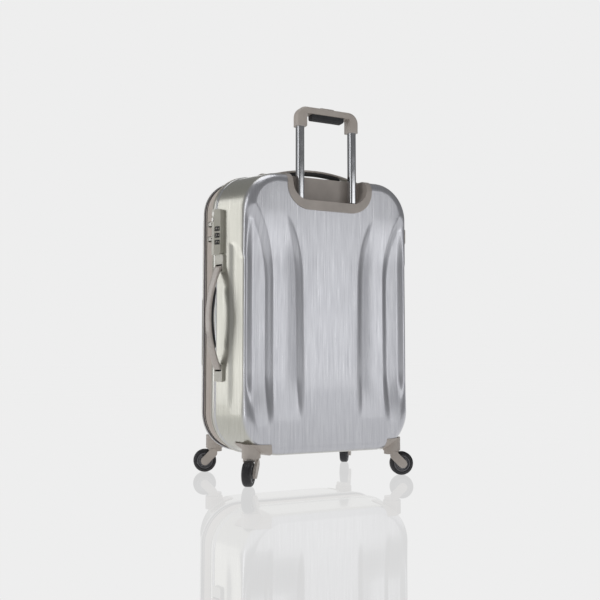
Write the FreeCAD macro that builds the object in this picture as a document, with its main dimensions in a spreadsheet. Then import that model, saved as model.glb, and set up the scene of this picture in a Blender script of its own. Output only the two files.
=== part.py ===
import FreeCAD, Part

# A hard shell spinner suitcase, built as an assembly of separate pieces.
#
# Frame: millimetres, +Z up, +Y towards the rear (the trolley side), +X towards the side that carries
# the lock and the side handle. The origin is on the floor, under the middle of the case.
# The rear half is the fixed half. The front half opens about an upright fabric hinge on the -X side.

import math
import os

import Sketcher
from FreeCAD import Placement, Rotation, Vector

doc = FreeCAD.newDocument("suitcase")
sheet = doc.addObject("Spreadsheet::Sheet", "dims")

# Driving dimensions, in millimetres and degrees.
DIMENSIONS = {
    # the two shells
    "case_width": 460, "base_z": 56, "top_z": 660,
    "rear_face": 145, "rear_rim": 30, "front_rim": -25, "front_face": -145,
    "corner_top": 80, "corner_low": 85, "edge_round": 26, "wall": 2.4,
    "side_slope": 0.3, "top_slope": 0.06, "base_slope": 0.02,
    "bead_depth": 14, "bead_proud": 1.5,
    # lining and packing straps
    "lining_gap": 5, "lining_wall": 1.3, "lining_back": 102, "lining_round": 24,
    "strap_wide": 25, "strap_thick": 1.6, "strap_reach": 178, "buckle_size": 46,
    # zipper, gusset band and fabric hinge
    "zip_middle": 27, "zip_gap": 0.3, "zip_proud": 228, "zip_inner": 223.5, "band_end": 24,
    "band_proud": 225.9, "band_thick": 2, "hinge_low": 150, "hinge_high": 500, "hinge_out": 6,
    "slider_long": 13, "slider_wide": 10, "slider_low": 517, "slider_high": 549, "pin_x": 236.2,
    "pin_r": 1.2, "pull_tip": 44.4, "pull_wide": 9, "pull_thick": 2.2,
    # trolley recess
    "cup_half": 90, "cup_floor": 598, "cup_back": 106, "cup_round": 36, "cup_wall": 2.2,
    "bezel_side": 12.5, "bezel_low": 21, "bezel_back": 12, "bezel_round": 52, "bezel_proud": 2,
    "bush_tall": 3.5,
    # trolley tubes and grip
    "tube_half_gap": 64, "tube_y": 124, "tube_wide": 16, "tube_deep": 18, "tube_round": 5,
    "tube_wall": 1.2, "tube_clear": 0.5, "collar_z": 762, "upper_low": 520, "upper_high": 784,
    "middle_low": 330, "middle_high": 600, "fixed_low": 100,
    "grip_half": 75.5, "grip_deep": 25, "grip_top": 806, "grip_round": 24, "grip_under": 791,
    "collar_wide": 23, "insert_half": 39, "insert_low": 779, "button_half": 17, "button_top": 808,
    # carry handles
    "handle_half": 112, "handle_wide": 22, "side_bow": 27, "top_bow": 20, "handle_foot": 6,
    "strap_wall": 5, "pad_half": 66, "pad_thick": 5, "pad_wide": 18, "side_handle_y": 58,
    "side_handle_z": 346, "side_handle_x": 220.1, "top_handle_y": 64, "top_handle_z": 656.4,
    "mount_long": 38, "mount_wide": 28, "mount_tall": 5, "foot_deep": 6, "foot_long": 12,
    # combination lock
    "lock_low": 481, "lock_high": 578, "lock_lean": 11.2, "lock_front": 37, "lock_rear": 69, "lock_out": 240,
    "lock_step": 233.2, "lock_face_y": 45, "lock_slant_y": 54.5, "slant_angle": 26.57,
    "dial_r": 7.5, "dial_tall": 9, "dial_pitch": 14.5, "dial_x": 232.2, "dial_y": 59.5, "dial_z": 521,
    "key_y": 50, "key_z": 569, "key_r": 4, "push_z": 556, "run_gap": 0.05,
    # side foot
    "foot_low": 531, "foot_high": 565, "foot_y": 60, "foot_wide": 26, "foot_proud": 238,
    # casters
    "caster_x": 170, "caster_y": 112, "wheel_r": 26, "tyre_wide": 20, "rim_r": 18, "trail": 22,
    "housing_low": 55, "housing_r": 19.5, "head_r": 17, "head_tall": 7.4, "head_gap": 0.5,
    "arm_thick": 6, "arm_gap": 1, "arm_half": 9.5, "axle_r": 3, "stem_r": 4, "stem_top": 68,
    "plate_half": 36, "plate_high": 84, "plate_thick": 2,
}
for row, (alias, value) in enumerate(DIMENSIONS.items(), start=1):
    sheet.set(f"A{row}", alias)
    sheet.set(f"B{row}", str(value))
    sheet.setAlias(f"B{row}", alias)
doc.recompute()

working = doc.addObject("Spreadsheet::Sheet", "working")  # one cell that works out first guesses
nodes = {}  # label -> document object, in the order they are written


def size(alias):
    """A driving dimension's value, for the pieces whose Shape is set in code."""
    return float(sheet.get(alias))


def bind(obj, **expressions):
    """Binds properties to expressions on the sheet. A double underscore stands for a dot."""
    for prop, text in expressions.items():
        obj.setExpression(prop.replace("__", "."), text)
    return obj


def keep(obj, label):
    """Marks obj as a sub-part that is written to parts/LABEL.step."""
    obj.Label = label
    nodes[label] = obj
    return obj


# ---- Part primitives and booleans -------------------------------------------------------------


def box(name, corner, lengths):
    """A box from its low corner and its lengths, all expressions on the sheet."""
    made = doc.addObject("Part::Box", name)
    bind(made, Length=lengths[0], Width=lengths[1], Height=lengths[2])
    bind(made, Placement__Base__x=corner[0], Placement__Base__y=corner[1], Placement__Base__z=corner[2])
    return made


def cylinder(name, radius, height, base, axis="Z"):
    """A cylinder that starts at base and runs along +axis."""
    made = doc.addObject("Part::Cylinder", name)
    turn = {"Z": Rotation(), "X": Rotation(Vector(0, 1, 0), 90), "Y": Rotation(Vector(1, 0, 0), -90)}
    made.Placement = Placement(Vector(), turn[axis])
    bind(made, Radius=radius, Height=height)
    bind(made, Placement__Base__x=base[0], Placement__Base__y=base[1], Placement__Base__z=base[2])
    return made


def cone(name, low_radius, high_radius, height, base):
    made = doc.addObject("Part::Cone", name)
    bind(made, Radius1=low_radius, Radius2=high_radius, Height=height)
    bind(made, Placement__Base__x=base[0], Placement__Base__y=base[1], Placement__Base__z=base[2])
    return made


def cut(name, base, *tools):
    for n, tool in enumerate(tools):
        made = doc.addObject("Part::Cut", f"{name}_cut{n}")
        made.Base, made.Tool = base, tool
        base = made
    return base


def fuse(name, *shapes):
    made = doc.addObject("Part::MultiFuse", name)
    made.Shapes = list(shapes)
    made.Refine = True
    return made


def common(name, *shapes):
    made = doc.addObject("Part::MultiCommon", name)
    made.Shapes = list(shapes)
    return made


def group(name, *shapes):
    """Several separate solids in one sub-part."""
    made = doc.addObject("Part::Compound", name)
    made.Links = list(shapes)
    return made


def mirrored(name, source, normal):
    made = doc.addObject("Part::Mirroring", name)
    made.Source = source
    made.Normal = normal
    return made


def rounded(name, base, radius, wanted):
    """Rounds the edges of base for which wanted(edge) is true. radius is an alias of the sheet."""
    doc.recompute()
    made = doc.addObject("Part::Fillet", name)
    made.Base = base
    r = size(radius) if isinstance(radius, str) else radius
    made.Edges = [(n, r, r) for n, e in enumerate(base.Shape.Edges, start=1) if wanted(e)]
    return made


# ---- PartDesign bodies ------------------------------------------------------------------------


def new_body(name):
    return doc.addObject("PartDesign::Body", name)


def origin_plane(body, role):
    return next(f for f in body.Origin.OriginFeatures if f.Role == role)


def new_sketch(body, name, role, offset="0"):
    """A sketch on one of the body's own origin planes, moved along that plane's normal."""
    made = body.newObject("Sketcher::SketchObject", name)
    made.AttachmentSupport = [(origin_plane(body, role), "")]
    made.MapMode = "FlatFace"
    made.setExpression("AttachmentOffset.Base.z", offset)
    return made


def name_last(sketch, label, text):
    """Names the newest constraint and binds it to an expression."""
    n = sketch.ConstraintCount - 1
    sketch.renameConstraint(n, label)
    sketch.setExpression(f"Constraints.{label}", text)


def value_of(text):
    """The number that an expression on the sheet gives, for a sketch's first guess."""
    working.set("A1", f"={text}")
    working.recompute()
    return float(working.get("A1"))


def slot_outline(sketch, tag, half, low, high, round_low, round_high):
    """A closed outline with four rounded corners, even about the sketch's upright axis.

    half, low, high and the two radii are expressions. Local x is across and local y is up.
    """
    a, z0, z1 = value_of(half), value_of(low), value_of(high)
    rb, rt = value_of(round_low), value_of(round_high)
    line = lambda p, q: Part.LineSegment(Vector(*p, 0), Vector(*q, 0))
    arc = lambda c, r, s: Part.ArcOfCircle(
        Part.Circle(Vector(*c, 0), Vector(0, 0, 1), r), math.radians(s), math.radians(s + 90)
    )
    pieces = [
        line((-a + rb, z0), (a - rb, z0)), arc((a - rb, z0 + rb), rb, -90),
        line((a, z0 + rb), (a, z1 - rt)), arc((a - rt, z1 - rt), rt, 0),
        line((a - rt, z1), (-a + rt, z1)), arc((-a + rt, z1 - rt), rt, 90),
        line((-a, z1 - rt), (-a, z0 + rb)), arc((-a + rb, z0 + rb), rb, 180),
    ]
    g = [sketch.addGeometry(p, False) for p in pieces]
    add = lambda *c: sketch.addConstraint(Sketcher.Constraint(*c))
    for k in range(8):
        add("Tangent", g[k], 2, g[(k + 1) % 8], 1)
    add("Vertical", g[2])
    add("Symmetric", g[0], 1, g[0], 2, -2)
    add("Equal", g[1], g[7])
    add("Equal", g[3], g[5])
    add("Radius", g[1], rb)
    name_last(sketch, f"{tag}_round_low", round_low)
    add("Radius", g[3], rt)
    name_last(sketch, f"{tag}_round_high", round_high)
    add("DistanceX", -1, 1, g[2], 1, a)
    name_last(sketch, f"{tag}_half", half)
    if abs(z0) > 1e-6:
        add("DistanceY", -1, 1, g[0], 1, z0)
        name_last(sketch, f"{tag}_low", low)
    else:
        add("PointOnObject", g[0], 1, -1)
    add("DistanceY", g[0], 1, g[4], 1, z1 - z0)
    name_last(sketch, f"{tag}_tall", f"({high}) - ({low})")


def rectangle(sketch, tag, half, low, high):
    """A closed rectangle, even about the sketch's upright axis."""
    a, z0, z1 = value_of(half), value_of(low), value_of(high)
    corners = [Vector(-a, z0, 0), Vector(a, z0, 0), Vector(a, z1, 0), Vector(-a, z1, 0)]
    g = [sketch.addGeometry(Part.LineSegment(corners[k], corners[(k + 1) % 4]), False) for k in range(4)]
    add = lambda *c: sketch.addConstraint(Sketcher.Constraint(*c))
    for k in range(4):
        add("Coincident", g[k], 2, g[(k + 1) % 4], 1)
    add("Horizontal", g[2])
    add("Vertical", g[1])
    add("Vertical", g[3])
    add("Symmetric", g[0], 1, g[0], 2, -2)
    add("DistanceX", -1, 1, g[1], 1, a)
    name_last(sketch, f"{tag}_half", half)
    add("DistanceY", -1, 1, g[0], 1, z0)
    name_last(sketch, f"{tag}_low", low)
    add("DistanceY", g[0], 1, g[2], 1, z1 - z0)
    name_last(sketch, f"{tag}_tall", f"({high}) - ({low})")


def pad(body, name, sketch, length, backwards=False, taper=None):
    made = body.newObject("PartDesign::Pad", name)
    made.Profile = sketch
    made.Reversed = backwards
    made.setExpression("Length", length)
    if taper:
        made.setExpression("TaperAngle", taper)
    return made


def prism(name, role, offset, length, outline, backwards=False, hollow=None):
    """A body with one pad. outline and hollow are (half, low, high, round_low, round_high)."""
    body = new_body(name)
    sketch = new_sketch(body, f"{name}_sketch", role, offset)
    slot_outline(sketch, "outer", *outline)
    if hollow:
        slot_outline(sketch, "inner", *hollow)
    pad(body, f"{name}_pad", sketch, length, backwards)
    return body


# ---- The shells -------------------------------------------------------------------------------


def shell_form(name, rim, depth, grow, rear, edge="dims.edge_round"):
    """The filled outer form of one half, grown outwards by grow on every side but the rim.

    It is a loft from the rim's rectangle to the far face's smaller one, with its four corners and
    the edge of its far face rounded. It is built towards -Y, and the rear half's is then mirrored.
    """
    body = new_body(f"{name}_body")
    sketches = []
    for tag, reach in (("rim", "0"), ("face", f"({depth} + ({grow}))")):
        along = f"-1 * ({rim}) - {reach}" if rear else f"({rim}) - {reach}"
        sketch = new_sketch(body, f"{name}_{tag}", "XZ_Plane", f"-1 * ({along})")
        rectangle(sketch, tag,
                  f"dims.case_width / 2 - dims.bead_proud + ({grow}) - {reach} * dims.side_slope",
                  f"dims.base_z + dims.bead_proud - ({grow}) + {reach} * dims.base_slope",
                  f"dims.top_z - dims.bead_proud + ({grow}) - {reach} * dims.top_slope")
        sketches.append(sketch)
    loft = body.newObject("PartDesign::AdditiveLoft", f"{name}_block")
    loft.Profile = sketches[0]
    loft.Sections = [sketches[1]]
    loft.Ruled = True
    doc.recompute()
    middle = (size("base_z") + size("top_z")) / 2
    for tag, high in (("top", True), ("low", False)):
        feature = body.Tip
        picked = [n for n, e in enumerate(feature.Shape.Edges, start=1)
                  if len(e.Vertexes) == 2 and abs(e.Vertexes[0].Y - e.Vertexes[1].Y) > 60
                  and (e.CenterOfMass.z > middle) == high and abs(e.CenterOfMass.x) > 180
                  and abs(e.CenterOfMass.z - middle) > 270]
        turn = body.newObject("PartDesign::Fillet", f"{name}_{tag}_corners")
        turn.Base = (feature, [f"Edge{n}" for n in picked])
        turn.setExpression("Radius", f"dims.corner_{tag}")
        doc.recompute()
    feature = body.Tip
    faces = list(enumerate(feature.Shape.Faces, start=1))
    number = min(faces, key=lambda item: item[1].CenterOfMass.y)[0]
    edge_round = body.newObject("PartDesign::Fillet", f"{name}_edge")
    edge_round.Base = (feature, [f"Face{number}"])
    edge_round.setExpression("Radius", edge)
    if rear:
        body = mirrored(name, body, Vector(0, 1, 0))
    doc.recompute()
    return body


REAR_DEPTH = "(dims.rear_face - dims.rear_rim)"
FRONT_DEPTH = "(dims.front_rim - dims.front_face)"
REACH = "400"


def ring(name, y_low, length, half, wall, low="dims.base_z", high="dims.top_z"):
    """A band that follows the rim's outline, with the stated half width and wall."""
    inset = f"(dims.case_width / 2 - ({half}))"
    outer = (half, f"{low} + {inset}", f"{high} - {inset}", f"dims.corner_low - {inset}",
             f"dims.corner_top - {inset}")
    hollow = (f"{half} - {wall}", f"{outer[1]} + {wall}", f"{outer[2]} - {wall}",
              f"{outer[3]} - {wall}", f"{outer[4]} - {wall}")
    return prism(name, "XZ_Plane", f"-1 * ({y_low})", length, outer, True, hollow)


# Outer forms, the same forms grown by a thin skin, and the inner forms that hollow them.
rear_form = shell_form("rear_form", "dims.rear_rim", REAR_DEPTH, "0", True)
rear_inner = shell_form("rear_inner", "dims.rear_rim", REAR_DEPTH, "-1 * dims.wall", True)
rear_grown = shell_form("rear_grown", "dims.rear_rim", REAR_DEPTH, "dims.plate_thick", True)
front_form = shell_form("front_form", "dims.front_rim", FRONT_DEPTH, "0", False)
front_inner = shell_form("front_inner", "dims.front_rim", FRONT_DEPTH, "-1 * dims.wall", False)
front_grown = shell_form("front_grown", "dims.front_rim", FRONT_DEPTH, "dims.plate_thick", False)
LINING_DEPTH = "(dims.lining_back - dims.rear_rim)"
LINING_OUT = "-1 * dims.wall - dims.lining_gap"
LINING_IN = "-1 * dims.wall - dims.lining_gap - dims.lining_wall"
rear_lining_out = shell_form("rear_lining_out", "dims.rear_rim", f"{LINING_DEPTH} + dims.wall + dims.lining_gap",
                             LINING_OUT, True, "dims.lining_round")
rear_lining_in = shell_form("rear_lining_in", "dims.rear_rim", f"{LINING_DEPTH} + dims.wall + dims.lining_gap",
                            LINING_IN, True, "dims.lining_round")
front_lining_out = shell_form("front_lining_out", "dims.front_rim", FRONT_DEPTH, LINING_OUT, False)
front_lining_in = shell_form("front_lining_in", "dims.front_rim", FRONT_DEPTH, LINING_IN, False)

rear_bead = ring("rear_bead", "dims.rear_rim", "dims.bead_depth", "dims.case_width / 2", "3.9")
front_bead = ring("front_bead", "(dims.front_rim - dims.bead_depth)", "dims.bead_depth",
                  "dims.case_width / 2", "3.9")


# ---- Trolley recess ---------------------------------------------------------------------------


def recess(name, half, floor, back, round_low):
    """A solid that is U-shaped seen from the rear, and open above and behind."""
    return prism(name, "XZ_Plane", f"-1 * ({back})", REACH,
                 (half, floor, f"dims.top_z + {REACH}", round_low, "dims.cup_round"), True)


cup_space = recess("cup_space", "dims.cup_half", "dims.cup_floor", "dims.cup_back", "dims.cup_round")
cup_block = recess("cup_block", "dims.cup_half + dims.cup_wall", "dims.cup_floor - dims.cup_wall",
                   "dims.cup_back - dims.cup_wall", "dims.cup_round + dims.cup_wall")
bezel_block = recess("bezel_block", "dims.cup_half + dims.bezel_side", "dims.cup_floor - dims.bezel_low",
                     "dims.cup_back - dims.bezel_back", "dims.bezel_round")
bezel_skin = cut("bezel_skin", rear_grown, rear_inner)
bezel = common("bezel", cut("bezel_ring", bezel_block, cup_space), bezel_skin)
cup_walls = common("cup_walls", cut("cup_hollow", cup_block, cup_space), rear_grown)


def tube_solid(name, side, grow, low, high, corner):
    """A filled tube section, even about its own axis, grown by grow on every side."""
    made = box(name, (f"{side} * dims.tube_half_gap - dims.tube_wide / 2 - ({grow})",
                      f"dims.tube_y - dims.tube_deep / 2 - ({grow})", low),
               (f"dims.tube_wide + 2 * ({grow})", f"dims.tube_deep + 2 * ({grow})", f"{high} - ({low})"))
    upright = lambda e: e.BoundBox.ZLength > 1 and e.BoundBox.XLength < 0.01
    return rounded(f"{name}_round", made, corner, upright)


def tube(name, side, grow, low, high, corner):
    """One hollow trolley tube."""
    wall = size("tube_wall")
    outer = tube_solid(f"{name}_outer", side, grow, low, high, corner)
    inner = tube_solid(f"{name}_inner", side, f"{grow} - dims.tube_wall", low, high, corner - wall)
    return cut(name, outer, inner)


# Each stage is larger than the one it holds by a wall and a running gap.
STAGE = "(dims.tube_wall + dims.tube_clear)"
stage = size("tube_wall") + size("tube_clear")
SIDES = {"left": 1, "right": -1}
upper_round = size("tube_round")
middle_round = upper_round + stage
fixed_round = middle_round + stage

passages = [tube_solid(f"passage_{n}", s, f"2 * {STAGE} - dims.tube_wall", "dims.cup_floor - 30",
                       "dims.cup_floor + 30", fixed_round - size("tube_wall"))
            for n, s in SIDES.items()]
bushes = [tube_solid(f"bush_{n}", s, f"2 * {STAGE} + 1.5", "dims.cup_floor",
                     "dims.cup_floor + dims.bush_tall - 2", fixed_round + 1.5) for n, s in SIDES.items()]
keep(cut("trolley_cup_parts", fuse("cup_and_bezel", bezel, cup_walls, *bushes), *passages), "trolley_cup")
keep(group("fixed_pair", *[tube(f"fixed_{n}", s, f"2 * {STAGE}", "dims.fixed_low",
                                "dims.cup_floor - dims.cup_wall", fixed_round)
                           for n, s in SIDES.items()]), "fixed_tubes")
keep(group("middle_pair", *[tube(f"middle_{n}", s, STAGE, "dims.middle_low", "dims.middle_high",
                                 middle_round) for n, s in SIDES.items()]), "middle_tubes")
keep(group("middle_caps", *[cut(f"cap_{n}",
                                tube_solid(f"cap_{n}_out", s, STAGE, "dims.middle_high",
                                           "dims.middle_high + 2.4", middle_round),
                                tube_solid(f"cap_{n}_in", s, "dims.tube_clear", "dims.middle_high - 1",
                                           "dims.middle_high + 4", upper_round + 0.5))
                            for n, s in SIDES.items()]), "middle_bushes")
keep(group("upper_pair", *[tube(f"upper_{n}", s, "0", "dims.upper_low", "dims.upper_high", upper_round)
                           for n, s in SIDES.items()]), "upper_tubes")

# The bracket under the fixed tubes rests on the inner skin of the rear shell.
bracket = box("bracket_box", ("-1 * dims.tube_half_gap - 17", "dims.tube_y - 15", "dims.fixed_low - 16"),
              ("2 * dims.tube_half_gap + 34", "27", "16"))
keep(common("bracket", bracket, rear_inner), "tube_bracket")

# Grip: a bar with two collars, a button pocket on top and a soft insert below.
bar = box("grip_bar", ("-1 * dims.grip_half", "dims.tube_y - dims.grip_deep / 2", "dims.grip_under"),
          ("2 * dims.grip_half", "dims.grip_deep", "dims.grip_top - dims.grip_under"))
collars = [box(f"collar_{n}", (f"{s} * (dims.grip_half - dims.collar_wide / 2) - dims.collar_wide / 2",
                               "dims.tube_y - dims.grip_deep / 2", "dims.collar_z"),
               ("dims.collar_wide", "dims.grip_deep", "dims.grip_top - dims.collar_z"))
           for n, s in SIDES.items()]
yoke = fuse("yoke", bar, *collars)
shoulders = rounded("yoke_shoulders", yoke, "grip_round",
                    lambda e: e.BoundBox.YLength > 20 and abs(e.CenterOfMass.x) > 70
                    and e.CenterOfMass.z > size("grip_top") - 1)
soft_yoke = rounded("yoke_soft", shoulders, 6,
                    lambda e: (e.BoundBox.ZLength > 10 and e.BoundBox.YLength < 0.01
                               and abs(e.CenterOfMass.x) > 70 and e.CenterOfMass.z < size("collar_z") + 30))
pocket = box("button_pocket", ("-1 * dims.button_half - 0.3", "dims.tube_y - 7.3", "dims.grip_top - 13"),
             ("2 * dims.button_half + 0.6", "14.6", "20"))
pocket_round = rounded("button_pocket_round", pocket, 3.3, lambda e: e.BoundBox.ZLength > 1)
sockets = [tube_solid(f"socket_{n}", s, "0", "dims.collar_z - 5", "dims.upper_high", upper_round)
           for n, s in SIDES.items()]
keep(cut("grip_parts", soft_yoke, pocket_round, *sockets), "grip")
insert = box("insert_box", ("-1 * dims.insert_half", "dims.tube_y - 9.5", "dims.insert_low"),
             ("2 * dims.insert_half", "19", "dims.grip_under - dims.insert_low"))
keep(rounded("insert_round", insert, 4, lambda e: e.BoundBox.ZLength < 0.01 and
             e.CenterOfMass.z < size("insert_low") + 1), "grip_insert")
button = box("button_box", ("-1 * dims.button_half", "dims.tube_y - 7", "dims.button_top - 9.5"),
             ("2 * dims.button_half", "14", "9.5"))
button_sides = rounded("button_sides", button, 3, lambda e: e.BoundBox.ZLength > 1)
keep(rounded("button_crown", button_sides, 1.2,
             lambda e: e.BoundBox.ZLength < 0.01 and e.CenterOfMass.z > size("button_top") - 0.1),
     "release_button")


# ---- Carry handles ----------------------------------------------------------------------------


def arch(name, bow_mm, half, rise, inset, thick, wide):
    """A bowed strip along X, centred on Y. Its outer surface lies inset below an arc that is rise high."""
    half_mm = size("handle_half")
    bend = (half_mm**2 + bow_mm**2) / (2 * bow_mm)
    start = ("0", f"-1 * {wide} / 2", f"{rise} - {bend}")
    outer = cylinder(f"{name}_outer", f"{bend} - {inset}", wide, start, "Y")
    inner = cylinder(f"{name}_inner", f"{bend} - {inset} - {thick}", wide, start, "Y")
    window = box(f"{name}_window", (f"-1 * {half}", f"-1 * {wide} / 2", "-60"), (f"2 * {half}", wide, "120"))
    return common(name, cut(f"{name}_strip", outer, inner), window)


def handle_pieces(which, where, turn):
    """A carry handle in its own frame (X along it, Z away from the shell), then put in its place."""
    bow, rise = size(f"{which}_bow"), f"(dims.{which}_bow + dims.handle_foot)"
    strip = arch(f"{which}_strip", bow, "dims.handle_half", rise, "0", "dims.strap_wall", "dims.handle_wide")
    foot_x = "(dims.handle_half - dims.foot_long / 2)"
    feet = [box(f"{which}_foot_{n}", (f"{s} * {foot_x} - dims.foot_long / 2", "-1 * dims.handle_wide / 2",
                                      "-1 * dims.foot_deep"),
                ("dims.foot_long", "dims.handle_wide", "dims.foot_deep + dims.handle_foot"))
            for n, s in SIDES.items()]
    strap = fuse(f"{which}_strap_fused", strip, *feet)
    cushion = arch(f"{which}_cushion", bow, "dims.pad_half", rise, "dims.strap_wall", "dims.pad_thick",
                   "dims.pad_wide")
    plates = [box(f"{which}_plate_{n}", (f"{s} * (dims.handle_half + 4) - dims.mount_long / 2",
                                         "-1 * dims.mount_wide / 2", "-8"),
                  ("dims.mount_long", "dims.mount_wide", "8 + dims.mount_tall")) for n, s in SIDES.items()]
    plates = [rounded(f"{which}_plate_{n}_round", p, 5, lambda e: e.BoundBox.ZLength > 1)
              for n, p in enumerate(plates)]
    slots = [box(f"{which}_slot_{n}", (f"{s} * {foot_x} - dims.foot_long / 2 - 1.5",
                                       "-1 * dims.handle_wide / 2 - 0.6", "-12"),
                 ("dims.foot_long + 3", "dims.handle_wide + 1.2", "12 + dims.mount_tall + 9"))
             for n, s in SIDES.items()]
    placed = {}
    parts = {"strap": [strap], "pad": [cushion], "plates": plates, "slots": slots}
    for key, shapes in parts.items():
        made = group(f"{which}_{key}_placed", *shapes)
        made.Placement = Placement(Vector(), turn)
        bind(made, Placement__Base__x=where[0], Placement__Base__y=where[1], Placement__Base__z=where[2])
        placed[key] = made
    doc.recompute()
    return placed


lean_of_wall = math.degrees(math.atan(size("side_slope")))
side = handle_pieces("side", ("dims.side_handle_x", "dims.side_handle_y", "dims.side_handle_z"),
                     Rotation(Vector(0, 0, 1), lean_of_wall).multiply(Rotation(Vector(0, 1, 0), 90)))
top = handle_pieces("top", ("0", "dims.top_handle_y", "dims.top_handle_z"), Rotation())
for which, placed in (("side", side), ("top", top)):
    keep(placed["strap"], f"{which}_strap")
    keep(placed["pad"], f"{which}_pad")
    keep(cut(f"{which}_mount_cut", placed["plates"], rear_form, rear_bead, placed["slots"]),
         f"{which}_mounts")


# ---- Combination lock -------------------------------------------------------------------------



def leaned(name, *shapes, pivot=None):
    """Shapes drawn for an upright wall, turned together about Z to lie on the leaning one."""
    made = group(name, *shapes)
    spot = pivot or Vector(size("case_width") / 2 - size("bead_proud"), size("rear_rim"), 0)
    made.Placement = Placement(Vector(), Rotation(Vector(0, 0, 1), size("lock_lean")), spot)
    return made


lock_block = box("lock_block", ("215", "dims.lock_front", "dims.lock_low"),
                 ("dims.lock_out - 215", "dims.lock_rear - dims.lock_front", "dims.lock_high - dims.lock_low"))
lock_soft = rounded("lock_soft", lock_block, 6,
                    lambda e: e.BoundBox.XLength > 1 and e.CenterOfMass.y > size("lock_rear") - 1)
step = box("lock_step", ("dims.lock_step", "dims.lock_front - 5", "dims.lock_low - 5"),
           ("30", "dims.lock_face_y - dims.lock_front + 5", "dims.lock_high - dims.lock_low + 10"))
slant = box("lock_slant", ("dims.lock_out", "dims.lock_slant_y", "dims.lock_low - 5"),
            ("40", "60", "dims.lock_high - dims.lock_low + 10"))
slant.Placement.Rotation = Rotation(Vector(0, 0, 1), size("slant_angle"))
dial_spots = {n: f"dims.dial_z + {n - 2} * dims.dial_pitch" for n in (1, 2, 3)}
dial_wells = [cylinder(f"dial_well_{n}", "dims.dial_r + 0.5", "dims.dial_tall + 0.8",
                       ("dims.dial_x", "dims.dial_y", f"{z} - dims.dial_tall / 2 - 0.4"))
              for n, z in dial_spots.items()]
push_well = cylinder("push_well", "dims.key_r + dims.run_gap", "20",
                     ("dims.lock_out - 12", "dims.key_y", "dims.push_z"), "X")
key_well = cylinder("key_well", "dims.key_r + dims.run_gap", "20",
                    ("dims.lock_out - 8", "dims.key_y", "dims.key_z"), "X")
lock_body = cut("lock_body", lock_soft, step, slant, push_well, key_well, *dial_wells)
axle = cylinder("dial_axle", "1.5", "3 * dims.dial_pitch + 2",
                ("dims.dial_x", "dims.dial_y", "dims.dial_z - 1.5 * dims.dial_pitch - 1"))
lock_parts = leaned("lock_leaned", fuse("lock_case_parts", lock_body, axle))
keep(cut("lock_on_shell", lock_parts, rear_form, rear_bead), "lock_case")
for n, z in dial_spots.items():
    drum = cylinder(f"drum_{n}", "dims.dial_r", "dims.dial_tall",
                    ("dims.dial_x", "dims.dial_y", f"{z} - dims.dial_tall / 2"))
    bore = cylinder(f"drum_bore_{n}", "1.5 + dims.run_gap", "dims.dial_tall + 2",
                    ("dims.dial_x", "dims.dial_y", f"{z} - dims.dial_tall / 2 - 1"))
    soft = rounded(f"drum_soft_{n}", drum, 0.8, lambda e: e.BoundBox.ZLength < 0.01)
    keep(leaned(f"drum_leaned_{n}", cut(f"drum_cut_{n}", soft, bore)), f"dial_{n}")
push = cylinder("push", "dims.key_r", "8.5", ("dims.lock_out - 7", "dims.key_y", "dims.push_z"), "X")
keep(leaned("push_leaned", push), "lock_push")
core = cylinder("core", "dims.key_r", "7.6", ("dims.lock_out - 7.6", "dims.key_y", "dims.key_z"), "X")
slit = box("key_slit", ("dims.lock_out - 4", "dims.key_y - 0.5", "dims.key_z - 2.6"), ("6", "1", "5.2"))
keep(leaned("core_leaned", cut("core_cut", core, slit)), "key_core")
docks = [box(f"dock_{n}", ("dims.lock_step", "dims.lock_front + 0.6", f"dims.{z} - 6"), ("0.5", "6.8", "12"))
         for n, z in enumerate(("slider_low", "slider_high"))]
keep(leaned("docks_leaned", *docks), "lock_docks")

# ---- Side foot --------------------------------------------------------------------------------

foot_block = box("foot_block", ("-1 * dims.foot_proud", "dims.foot_y - dims.foot_wide / 2", "dims.foot_low"),
                 ("dims.foot_proud - 205", "dims.foot_wide", "dims.foot_high - dims.foot_low"))
foot_soft = rounded("foot_soft", foot_block, 3, lambda e: e.BoundBox.XLength > 1)
keep(cut("foot_cut", foot_soft, rear_form), "side_foot")

# ---- Shells -----------------------------------------------------------------------------------

rear_tray = fuse("rear_tray", cut("rear_hollow", rear_form, rear_inner), rear_bead)
lock_window = box("lock_window", ("212", "dims.dial_y - 8.6", "dims.dial_z - 24"), ("16", "17.2", "48"))
lock_opening = leaned("lock_opening", lock_window)
keep(cut("rear_shell_cut", rear_tray, bezel_block, lock_opening, side["slots"], top["slots"]), "rear_shell")
keep(fuse("front_tray", cut("front_hollow", front_form, front_inner), front_bead), "front_shell")
keep(cut("rear_lining_cut", rear_lining_out, rear_lining_in), "rear_lining")
keep(cut("front_lining_cut", front_lining_out, front_lining_in), "front_lining")

# ---- Zipper, band and hinge -------------------------------------------------------------------

hinge_space = box("hinge_space", ("-260", "dims.front_rim - 60", "dims.hinge_low"),
                  ("60", "200", "dims.hinge_high - dims.hinge_low"))
GAP = "dims.zip_gap / 2"
PROUD = "(dims.zip_proud - dims.zip_inner)"
rear_chain = ring("rear_chain", f"dims.zip_middle + {GAP}", f"dims.rear_rim - dims.zip_middle - {GAP}",
                  "dims.zip_proud", PROUD)
front_chain = ring("front_chain", "dims.band_end", f"dims.zip_middle - {GAP} - dims.band_end",
                   "dims.zip_proud", PROUD)
keep(cut("rear_zip_cut", rear_chain, hinge_space), "rear_zip")
keep(cut("front_zip_cut", front_chain, hinge_space), "front_zip")
keep(common("rear_hinge_strip", rear_chain, hinge_space), "rear_hinge")
keep(common("front_hinge_strip", front_chain, hinge_space), "front_hinge")
keep(ring("band", "dims.front_rim", "dims.band_end - dims.front_rim", "dims.band_proud",
          "dims.band_thick"), "front_band")
keep(ring("second_zip", "dims.front_rim + 7", "3.6", "dims.band_proud + 1.4", "1.4"), "expander_zip")

# ---- Zipper sliders ---------------------------------------------------------------------------

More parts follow.
